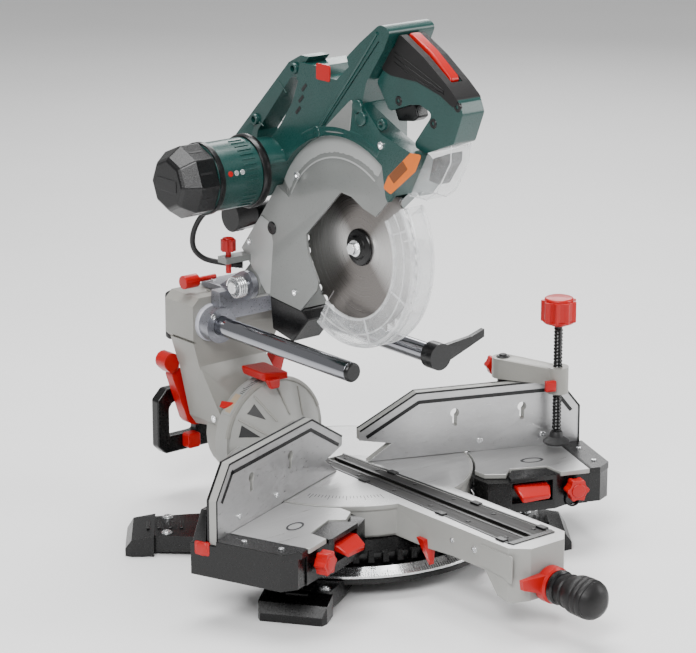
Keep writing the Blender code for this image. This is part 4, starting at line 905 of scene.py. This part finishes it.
# ---------------------------------------------------------------- bevel post, rails and carriage
def make_post():
    soft_node("bevel_post", GREY, "bevel_post", edge=3.0, segments=3)
    soft_node("rear_cover", BLACK, "bevel_post", edge=4.0, segments=3)
    soft_node("rear_frame", BLACK_GLOSS, "bevel_post", edge=3.0, segments=3)
    knob = merged(prism("Y", rounded([(-54, 66), (-34, 66), (-34, 86), (-54, 86)], 4, 4), 266,
            280.5),
                  rod("Y", (-44, 76), 5, 279, 284, 20))
    piece("rear_frame_knob", knob, RED, "bevel_post", edge=1.6, segments=3)
    for name in ("rail_left", "rail_right"):
        soft_node(name, CHROME, "bevel_post", edge=0.8)
    soft_node("rail_cap", BLACK, "bevel_post", edge=0.8)
    end = turned("Y", (-62.4, 257), [(0, -82.3), (10.6, -82.3), (11.6, -81), (11.6, -78), (0, -78)],
            48)
    piece("rail_end_left", end, BLACK_GLOSS, "bevel_post", edge=0)
    soft_node("rail_lever", BLACK, "rail_lever", edge=2.2, segments=3)
    soft_node("bevel_lever", RED, "bevel_lever", edge=3.5, segments=4)
    boss = merged(rod("Y", (66, 142), 8, 210, 240.6, 32, 0.8), hull(
        [(x, y, z) for x in (40, 66) for y in (210, 236) for z in (134, 150)]))
    piece("lever_boss", boss, GREY, "bevel_post", edge=1.2, segments=3)
    soft_node("slide_lever", RED, "slide_lever", edge=3.5, segments=4)
    soft_node("bevel_latch", RED, "bevel_latch", edge=3.4, segments=4)
    nose = hull([(x, y, z) for x, y, z in ((-30, 124, 190), (-10, 124, 190), (-30, 136, 192),
            (-10, 136, 192),
                                          (-27, 121, 178), (-13, 121, 178), (-27, 127, 178),
                                                  (-13, 127, 178))])
    piece("latch_nose", nose, RED, "bevel_latch", edge=2.2, segments=4)
    # bevel scale over the dome, with its pointer, and the bolts round the joint
    band = turned("Y", (0, 104), [(77, 154), (78.7, 154.6), (78.7, 169.4), (77, 170)], 60, 84, 150)
    piece("bevel_scale", band, PALE_SCALE_AND_GUARD_HIGHLIGHT, "turntable", edge=0)
    slot = turned("Y", (0, 104), [(77, 157), (78.9, 157), (78.9, 168), (77, 168)], 30, 128, 148)
    piece("bevel_slot", slot, TAN, "turntable", edge=0)
    lines = []
    for degree in range(88, 127, 2):
        a = math.radians(degree)
        reach = 162 if degree % 10 else 165
        out, across = Vector((math.cos(a), 0, math.sin(a))), Vector((-math.sin(a), 0, math.cos(a)))
        lines.append(hull([out * r + across * k + Vector((0, y, 104)) for r in (77,
                79) for k in (-0.35, 0.35) for y in (156, reach)]))
    piece("bevel_lines", merged(*lines), INK, "turntable", edge=0)
    tip = hull([(-62, 171, 154), (-66, 171, 148), (-58, 160, 158), (-60, 160, 154), (-66, 176, 158),
            (-70, 176, 150)])
    piece("bevel_pointer", tip, RED, "turntable", edge=0.6)
    hex_bolt("dome_bolt", "Y", (-44, 136), 150, 6.0, "turntable", way=-1)
    hex_bolt("post_bolt_low", "X", (196, 128), -62, 5.0, "bevel_post", way=-1)
    hex_bolt("dome_stop_screw", "Y", (40, 138), 150, 5.0, "turntable", way=-1)
    def on_cone(degree, r, lift):
        a = math.radians(degree)
        share = (r - 36) / 38
        return Vector((r * math.cos(a), 112 + 38 * share - lift, 98 + 6 * share + r * math.sin(a)))

    ribs = []
    for degree in (60, 90, 120, 150):
        ribs.append(hull([on_cone(degree + k * 40 / r, r, lift) for r in (42, 71) for k in (-2,
                2) for lift in (-1, 2.2)]))
    piece("dome_ribs", merged(*ribs), GREY, "turntable", edge=1.0, segments=3)
    window = hull([on_cone(d, r, lift) for d,
            r in ((154, 66), (168, 66), (158, 47)) for lift in (-1, 0.6)])
    piece("dome_window", window, BLACK_DULL, "turntable", edge=0.4)
    window = hull([on_cone(d, r, lift) for d,
            r in ((126, 66), (140, 66), (131, 50)) for lift in (-1, 0.6)])
    piece("dome_window_upper", window, BLACK_DULL, "turntable", edge=0.4)
    rim = turned("Y", (0, 104), [(72, 150), (75, 148.6), (78.2, 149.6), (79.2, 152), (77, 153)], 90,
            20, 172)
    piece("dome_rim", rim, GREY, "turntable", edge=0)
    collar = turned("Y", (-62.4, 257), [(12.4, 196), (22.5, 196), (24.6, 198), (24.6, 206),
            (22, 209), (12.4, 209)], 64)
    piece("rail_collar_left", collar, PLASTIC_PALE, "bevel_post", edge=0.4)


def coil(centre, radius, wire, low, high, turns):
    steps = 26
    points = []
    for i in range(int(turns * steps) + 1):
        a = 2 * math.pi * i / steps
        t = low + (high - low) * i / (turns * steps)
        points.append((t, centre[0] + radius * math.cos(a), centre[1] + radius * math.sin(a)))
    return tube(points, wire, 10)


def make_carriage():
    soft_node("carriage", ZINC, "carriage", edge=1.6, segments=3)
    soft_node("pivot_pin", BOLT, "carriage", edge=0.8)
    piece("head_spring", coil((160, 310), 13.2, 1.5, -56.5, -43.5, 4), BOLT, "carriage",
            edge=0,
          stands_for=("return_spring",))
    soft_node("transport_pin", RED, "transport_pin", edge=1.6, segments=3)
    for i, (x, y) in enumerate(((-36, 190), (-36, 236), (36, 190), (36, 236))):
        hex_bolt(f"carriage_bolt_{i}", "Z", (x, y), 300, 4.6, "carriage")
    for i, (x, z) in enumerate(((-76, 271), (-49, 243), (49, 271), (76, 243))):
        hex_bolt(f"collar_screw_{i}", "Y", (x, z), 178, 3.6, "carriage", way=-1, washer=False)


# ---------------------------------------------------------------- head
def make_guard():
    wedge = turned("X", ARBOR, [(114, -28.6), (146, -28.6), (146, -18.2), (141.4, -19.8)], 60, 24,
            122.4)
    backing = turned("X", ARBOR, [(112, -26), (130, -26), (130, -22.3), (119, -22.3)], 60, 30, 120)
    soft_node("fixed_guard", GUARD, "head", edge=0.7, joins=[backing],
            cuts=[wedge])
    # the chamfer band in the lighter copy of the guard paint: a painted highlight on the face that meets
    # the light
    band = turned("X", ARBOR, [(113.4, -28.6), (141.4, -20.3), (141.4, -19), (113.4, -27)], 80,
            27.5, 121.5)
    piece("guard_chamfer", band, PALE_SCALE_AND_GUARD_HIGHLIGHT, "head", edge=0)
    # the facet behind the crease, in the lighter copy of the guard paint: a painted highlight on the face
    # that meets the light
    facet = hull([(x, y, z) for x, y, z in (
        (-27.9, 121, 399), (-27.9, 113, 373), (-27.9, 120, 305.5), (-28.6, 128, 304),
                (-29.6, 178, 354), (-29.6, 137, 405),
        (-20, 121, 399), (-20, 120, 305.5), (-20, 128, 304), (-20, 178, 354), (-20, 137, 405))])
    piece("guard_facet", facet, PALE_SCALE_AND_GUARD_HIGHLIGHT, "head", edge=0.8)
    ring = turned("X", (116, 392), [(3.4, -29.6), (7.4, -29.6), (8.4, -28.6), (8.4, -27),
            (3.4, -27)], 40)
    piece("guard_hole_rim", merged(ring, rod("X", (116, 392), 3.6, -29, -27, 20)), BLACK, "head",
            edge=0)
    hex_bolt("guard_bolt_a", "X", (70, 318), -28, 4.2, "head", way=-1)
    hex_bolt("guard_bolt_b", "X", (160, 366), -29.6, 4.0, "head", way=-1)
    screw = merged(rod("Z", (-58, 168), 3.6, 328, 360, 24),
            lobed((-58, 168), 10, 357, 372, "Z", 8, 0.86),
                   rod("Z", (-58, 168), 7.6, 371, 374, 28, 1.2))
    piece("depth_screw", screw, RED, "depth_stop", edge=0.6,
            stands_for=("depth_stop",))


def corner_cut(before, corner, after, radius):
    """What has to go to round one corner of a shape seen from the side."""
    here = Vector(corner)
    back, ahead = Vector(before) - here, Vector(after) - here
    reach = min(radius, back.length * 0.5, ahead.length * 0.5)
    a, b = here + back.normalized() * reach, here + ahead.normalized() * reach
    out = here - (back.normalized() + ahead.normalized()).normalized() * 12
    curve = []
    for k in range(9):
        t = k / 8
        curve.append(tuple(a * (1 - t) ** 2 + here * (2 * t * (1 - t)) + b * t * t))
    far_a, far_b = a + (out - here), b + (out - here)
    return prism("X", [*curve, tuple(far_b), tuple(out), tuple(far_a)], -60, 60)


def make_housing():
    path = [(14.5, 533.5), (-95, 658)]
    p, q = Vector(path[0]), Vector(path[1])
    way = (q - p).normalized()
    across = Vector((-way.y, way.x))
    outline = [tuple(v) for v in (p - across * 1.1, q - across * 1.1, q + across * 1.1,
            p + across * 1.1)]
    groove = prism("X", outline, -33, -29.2)
    holes = [rod("X", spot, 4.2, -33, -24, 20) for spot in ((68, 602), (147.5, 526), (23, 531),
            (-100, 560))]
    corners = [corner_cut(*c) for c in (
        ((-60, 652), (-98, 680), (-116, 673), 16), ((-98, 680), (-116, 673), (-104, 650), 9),
        ((54, 612), (-12, 612), (-60, 652), 30))]
    soft_node("head_housing", GREEN, "head", edge=3.2, segments=3,
            cuts=[groove, *holes, *corners])
    # silver panel between the beam and the guard
    panel = prism("X", rounded([(-48, 585), (-41, 538), (14, 533)], 4, 4), -31.8, -29)
    piece("beam_panel", panel, GUARD, "head", edge=0.8)
    # raised rib that follows the guard's outer edge, and one along the beam's foot
    rib = turned("X", ARBOR, [(141.6, -30.4), (147.5, -31.9), (153, -31.9), (155, -30), (155, -24),
            (141.6, -24)], 60, 60, 118)
    piece("guard_band", rib, GREEN, "head", edge=1.2, segments=3)
    edge = tube([(-31.2, 14, 541), (-31.2, -30, 592), (-31.2, -60, 628), (-31.2, -92, 668)], 2.0,
            10)
    piece("beam_bead", edge, GREEN, "head", edge=0)
    bosses = merged(*[rod("X", spot, 9.5, -35, -28, 32, 2) for spot in ((-58, 574), (-64, 562))])
    piece("beam_cylinders", bosses, GREEN, "head", edge=0)
    for i, spot in enumerate(((-100, 535), (93, 494), (60, 470), (128, 462))):
        hex_bolt(f"housing_bolt_{i}", "X", spot, -31, 4.6, "head", way=-1)
    rings = []
    for spot in ((68, 602), (147.5, 526), (23, 531), (-100, 560)):
        rings.append(turned("X", spot, [(4.0, -32.2), (6.4, -32.2), (7.2, -31.2), (7.2, -27),
                (4.0, -27)], 32))
    piece("screw_rims", merged(*rings), GREEN, "head", edge=0)
    # carry handle: ribs on the grip, in a darker copy of the green that paints the shade of their grooves,
    # and three small slots over the beam
    seams = []
    for start, end in (((179, 488), (150, 486)), ((150, 527), (131, 520)), ((101, 582), (85, 569))):
        seams.append(tube([(-28.3, *start), (-28.3, *end)], 0.8, 8))
        seams.append(tube([(4.3, *start), (4.3, *end)], 0.8, 8))
    piece("carry_seams", merged(*seams), GREEN_GROOVE_SHADE, "head", edge=0)
    # the three slots are thin black sheets on the green: painted shade where the openings are
    slots = [prism("X", rounded([(y, z), (y + 9, z - 9), (y + 12, z - 6), (y + 3, z + 3)], 1.4, 3),
            -31.4, -30)
             for y, z in ((40, 585), (46, 570), (52, 555))]
    piece("beam_slot_shade", merged(*slots), BLACK_DULL, "head", edge=0)
    badge = prism("X", rounded([(-4, 596), (22, 596), (22, 616), (-4, 616)], 3, 4), -32.0, -30)
    piece("beam_badge", badge, RED, "head", edge=0.5)
    soft_node("belt_cover", BLACK, "head", edge=1.6, segments=3)
    vents = [prism("X", rounded([(y, 447), (y + 3, 447), (y + 3, 492), (y, 492)], 1.2, 3), 44.2,
            45.3) for y in range(94, 142, 7)]
    piece("belt_cover_vents", merged(*vents), BLACK_DULL, "head", edge=0)
    for i, spot in enumerate(((-25, 366), (-50, 391), (0, 391), (82, 471), (130, 500))):
        hex_bolt(f"cover_screw_{i}", "X", spot, 44.5, 3.4, "head", washer=False)
    soft_node("chip_chute", BLACK, "head", edge=1.8, segments=3)
    soft_node("dust_outlet", BLACK, "head", edge=2.4, segments=4)
    rings = [turned("X", (196, 392), [(18.6, x), (20, x), (20, x + 2), (18.6, x + 2)],
            48) for x in (-33, -27, -21)]
    piece("dust_rings", merged(*rings), BLACK, "head", edge=0.4)


def make_handle():
    loop = [(-117, 667), (-124, 664), (-160, 646), (-198, 621), (-222, 604), (-228, 590),
            (-213, 553.5), (-163.5, 534),
            (-146, 538), (-144, 544), (-176, 583), (-152, 590), (-134, 587), (-98, 574), (-74, 606),
                    (-107, 648)]
    hollow = hull([(x, y, z) for x in (-11, 11) for y in (-150, -86) for z in (560, 599)])
    slot = hull([(x, y, z) for x in (-8, 8) for y,
            z in ((-118, 655), (-196, 608), (-199, 630), (-118, 680))])
    piece("handle_loop", prism("X", rounded(loop, 7, 4), -17, 17), GREEN, "head",
            edge=4.5, segments=4,
          cuts=[hollow, slot], stands_for=("main_handle",))
    # soft overmould over the loop's top
    top = [(-74, 640), (-107, 651), (-117, 668.6), (-124, 665.6), (-160, 647.6), (-199, 622.4),
            (-222, 605),
           (-213, 596), (-190, 607), (-148.5, 617), (-101, 617.5), (-86, 622)]
    piece("handle_overmould", prism("X", rounded(top, 6, 4), -18.2, 18.2), GRIP, "head",
            edge=3.0, segments=4,
                 cuts=[hull([(x, y, z) for x in (-8.4, 8.4) for y,
                         z in ((-118, 652), (-197, 607), (-200, 632), (-118, 682))])])
    ridges = []
    for drop in (9, 15, 21):
        points = [(-18.1, -108, 655 - drop), (-18.1, -150, 641 - drop * 1.05),
                (-18.1, -196, 617 - drop * 0.35)]
        ridges.append(tube(smooth_path(points, 6), 0.9, 8))
    piece("handle_ridges", merged(*ridges), GRIP, "head", edge=0)
    bar = hull([(x, y, z) for x in (-7, 7) for y,
            z in ((-121, 661), (-193, 619), (-196, 624), (-193, 629), (-158, 653), (-127, 669),
            (-120, 669))])
    piece("safety_bar_grip", bar, RED, "safety_bar", edge=2.6, segments=4,
            stands_for=("safety_bar",))
    piece("trigger_blade", hull([(x, y, z) for x in (-9, 9) for y, z in (
        (-98, 585), (-90, 590), (-134, 588), (-140, 572), (-132, 566), (-104, 562))]), BLACK,
                "trigger",
        edge=2.4, segments=4, stands_for=("trigger",))
    for i, spot in enumerate(((-115, 589), (-177, 572), (-219, 598))):
        rim = turned("X", spot, [(0, -16.6), (2.4, -16.6), (2.4, -17.9), (5.2, -17.9), (6, -17.2),
                (6, -15), (0, -15)], 28)
        piece(f"handle_screw_{i}", rim, BLACK, "head", edge=0)
    outline = [(-164, 533), (-207, 550), (-206, 530), (-182, 490), (-164, 478), (-134, 478),
            (-153, 513)]
    piece("laser_lens_case", prism("X", rounded(outline, 4, 4), -15, 15), CLEAR, "head",
            edge=1.6,
                   segments=3, stands_for=("laser_window",))
    # bright lines along the lens case's edges: painted highlight
    edges = [tube([(x, *p) for p in outline[1:6]], 0.9, 8) for x in (-15, 15)]
    piece("laser_case_edge_highlights", merged(*edges), CLEAR_RIM_HIGHLIGHT, "head", edge=0)
    inner = hull([(x, y, z) for x in (-9, 9) for y,
            z in ((-168, 528), (-200, 540), (-199, 528), (-178, 498), (-160, 500))])
    piece("laser_unit", inner, BLACK_GLOSS, "head", edge=1.0)
    plate = prism("X", rounded([(-153, 535), (-173, 536), (-162, 514), (-118, 479), (-104, 484),
            (-113, 500)], 3, 3), -31.6, -30.6)
    panel = prism("X", rounded([(-140, 523), (-149, 515), (-124, 493), (-115, 501)], 1.5, 3), -32.0,
            -31.4)
    piece("side_plate", plate, ORANGE, "head", edge=0.3)
    piece("side_plate_mark", panel, ORANGE_DARK, "head", edge=0.2)


def make_motor():
    centre = MOTOR
    soft_node("motor_housing", GREEN, "head", edge=1.6, segments=3)
    # angular cap of eight sides with ribs and slots
    shapes = []
    for (r0, x0), (r1, x1) in (((45.5, -139.5), (45.5, -167)), ((45.5, -167), (34, -184)),
            ((34, -184), (30, -187.8))):
        shapes.append(hull([p for r, x in ((r0, x0), (r1, x1)) for p in disc("X", centre, r, (x,),
                8)]))
    cap = merged(*shapes)
    slots = []
    for i in range(8):
        a = math.radians(22.5 + 45 * i)
        out, across = Vector((0, math.cos(a), math.sin(a))), Vector((0, -math.sin(a), math.cos(a)))
        middle = Vector((0, *centre))
        for k in (-8, 0, 8):
            points = [middle + out * r + across * (k + w) + Vector((x, 0, 0)) for r in (34,
                    50) for w in (-1.6, 1.6) for x in (-147, -165)]
            slots.append(hull(points))
    piece("motor_end_cap", cap, BLACK, "head", edge=1.8, segments=3,
            stands_for=("motor_cap",))
    shell = plain("motor_cap_slots", merged(*slots))
    for v in shell.data.vertices:
        flat = Vector((0, v.co.y - AXIS_Y - centre[0] * MM, v.co.z - centre[1] * MM))
        if flat.length > 0.0442:
            flat = flat * (0.0424 / flat.length)
            v.co.y, v.co.z = AXIS_Y + centre[0] * MM + flat.y, centre[1] * MM + flat.z
    finish_mesh(shell, BLACK_DULL, 0, 1)
    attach(shell, "head")
    plate = prism("X", rounded([(centre[0] - 20, centre[1] - 8), (centre[0] + 20, centre[1] - 8),
                                (centre[0] + 20, centre[1] + 8), (centre[0] - 20, centre[1] + 8)],
                                        3, 3), -188.6, -187)
    piece("motor_cap_plate", plate, BLACK_DULL, "head", edge=0.5)
    ring = turned("X", centre, [(40, -62), (45.5, -62), (46.5, -64), (46.5, -70), (45, -73),
            (40, -73)], 80)
    piece("motor_flange", ring, BLACK, "head", edge=0.4)
    ring = turned("X", centre, [(40, -131), (44.6, -131), (45.2, -133), (45.2, -138.5),
            (40, -138.5)], 80)
    piece("motor_seam", ring, BLACK, "head", edge=0.4)
    ribs = []
    for i in range(16):
        a = math.radians(200 + 9 * i - 100)
        out, across = Vector((0, math.cos(a), math.sin(a))), Vector((0, -math.sin(a), math.cos(a)))
        middle = Vector((0, *centre))
        ribs.append(hull([middle + out * r + across * w + Vector((x, 0, 0)) for r in (41,
                43.9) for w in (-1, 1) for x in (-80, -100)]))
    piece("motor_ribs", merged(*ribs), GREEN, "head", edge=0.5)
    badges = []
    for x in (-104, -113, -122):
        a = math.radians(165)
        badges.append((x, a))
    for i, (x, a) in enumerate(badges):
        out = Vector((0, math.cos(a), math.sin(a)))
        side, up = Vector((1, 0, 0)), Vector((0, -math.sin(a), math.cos(a)))
        middle = Vector((0, *centre))
        points = []
        for k in range(20):
            t = 2 * math.pi * k / 20
            for r in (41.5, 43.5):
                points.append(middle + out * r + side * (x + 3.4 * math.cos(t)) + up * (3.4 * math.sin(t)))
        piece(f"motor_badge_{i}", hull(points), RED if i == 2 else BOLT, "head",
                edge=0.2)
    paint("motor_rotor", STEEL)
    paint("stator", COPPER)
    paint("drive_belt", BLACK_DULL)


def make_blade():
    teeth = 40
    outline = []
    for i in range(teeth):
        for share, drop in ((0.0, 0.0), (0.16, 1.2), (0.24, 4.6), (0.40, 7.4), (0.62, 7.2),
                (0.80, 4.2), (0.93, 1.4)):
            a = 2 * math.pi * (i + share) / teeth
            r = 107.8 - drop
            outline.append((ARBOR[0] + r * math.cos(a), ARBOR[1] + r * math.sin(a)))
    cuts = [rod("X", ARBOR, 7.7, -20, 20, 32)]
    for i in range(5):
        a = math.radians(20 + 72 * i)
        out, across = Vector((math.cos(a), math.sin(a))), Vector((-math.sin(a), math.cos(a)))
        middle = Vector(ARBOR)
        slot = [middle + out * 84 - across * 0.6, middle + out * 103 - across * 0.6,
                middle + out * 103 + across * 0.6, middle + out * 84 + across * 0.6]
        cuts.append(prism("X", [tuple(p) for p in slot], -4, 4))
    piece("blade_disc", prism("X", outline, -0.9, 0.9), BLADE, "blade", edge=0.15,
            segments=1, cuts=cuts,
                 stands_for=("blade",))
    tips = []
    for i in range(teeth):
        a = 2 * math.pi * i / teeth
        points = []
        for r, ang in ((107.9, a), (101.5, a), (107.6, a + 0.03), (102.5, a + 0.02)):
            for x in (-1.2, 1.2):
                points.append((x, ARBOR[0] + r * math.cos(ang), ARBOR[1] + r * math.sin(ang)))
        tips.append(hull(points))
    piece("blade_tips", merged(*tips), BOLT, "blade", edge=0)
    paint("spindle", STEEL)
    dish = turned("X", ARBOR, [(7.6, -1.6), (23, -1.6), (23, -3.2), (21.8, -4.6), (15.5, -6.0),
            (13.4, -8.0), (12, -8.6), (7.6, -8.6)], 72)
    piece("blade_washer", dish, BLACK_GLOSS, "blade", edge=0.3,
            stands_for=("blade_flange",))
    bolt = merged(rod("X", ARBOR, 10.6, -11, -8.9, 48, 0.8),
            prism("X", arc(ARBOR, 7.6, 0, 300, 5), -16.9, -10.5))
    piece("arbor_bolt", bolt, BOLT, "blade", edge=0.6, stands_for=("blade_bolt",))


def make_lower_guard():
    start, end = 145, 300
    r = 122.6
    outer = [(86, -20), (r - 4, -20), (r, -16), (r, 13), (r - 4, 16.8), (86, 16.8),
             (86, 14.8), (r - 5, 14.8), (r - 2.2, 12.2), (r - 2.2, -15), (r - 5, -17.8),
                     (86, -17.8)]
    shell = turned("X", ARBOR, outer, 78, start, end)
    piece("clear_cover", shell, CLEAR, "lower_guard", edge=0.3,
            stands_for=("lower_guard",))
    ribs = []
    for degree in range(start + 12, end, 46):
        rib = turned("X", ARBOR, [(88, -20.8), (r - 3, -20.8), (r - 3, -19.4), (88, -19.4)], 2,
                degree, degree + 1.2)
        ribs.append(rib)
    ribs.append(turned("X", ARBOR, [(85, -21), (88, -21), (88, -17.5), (85, -17.5)], 78, start,
            end))
    ribs.append(turned("X", ARBOR, [(104, -20.6), (106, -20.6), (106, -19.5), (104, -19.5)], 78,
            start, end))
    ribs.append(turned("X", ARBOR, [(r - 5, -21), (r - 1.6, -21), (r - 1.6, -16), (r - 5, -16)], 78,
            start, end))
    ribs.append(turned("X", ARBOR, [(r - 1, -14), (r + 0.3, -14), (r + 0.3, -11), (r - 1, -11)], 78,
            start, end))
    ribs.append(turned("X", ARBOR, [(r - 1, 8), (r + 0.3, 8), (r + 0.3, 11), (r - 1, 11)], 78,
            start, end))
    # ribs and rims in the brighter clear copy: painted highlight
    piece("clear_cover_ribs", merged(*ribs), CLEAR_RIM_HIGHLIGHT, "lower_guard", edge=0)
    arm = [(26, 14.6), (88, 14.6), (88, 16.8), (26, 16.8)]
    hub = merged(turned("X", ARBOR, arm, 16, 205, 240),
            turned("X", ARBOR, [(21.5, 14.6), (29, 14.6), (29, 16.8), (21.5, 16.8)], 48))
    piece("clear_cover_arm", hub, CLEAR, "lower_guard", edge=0.3)


def make_cable():
    route = [(-74, 150, 430), (-76, 162, 426), (-80, 180, 412), (-84, 196, 394), (-86, 205, 374),
             (-83, 207, 356), (-72, 202, 343), (-56, 191, 337), (-42, 179, 335), (-33, 171, 335)]
    path = smooth_path(route, 8)
    piece("power_lead", tube(path, 3.5, 16), BLACK_DULL, "head", edge=0,
            stands_for=("power_cable",))
    sleeves = []
    for ends in (path[:14], list(reversed(path[-12:]))):
        sleeves.append(tube(ends,
                [5.6 - 1.6 * i / len(ends) + (0.5 if i % 3 == 0 else 0) for i in range(len(ends))],
                16))
    piece("lead_sleeves", merged(*sleeves), BLACK, "head", edge=0)


def main():
    make_camera()
    make_studio()
    make_base()
    make_turntable()
    make_front_controls()
    for s in (-1, 1):
        make_side(s)
    make_ring()
    make_clamp()
    make_post()
    make_carriage()
    make_guard()
    make_housing()
    make_handle()
    make_motor()
    make_blade()
    make_lower_guard()
    make_cable()


main()
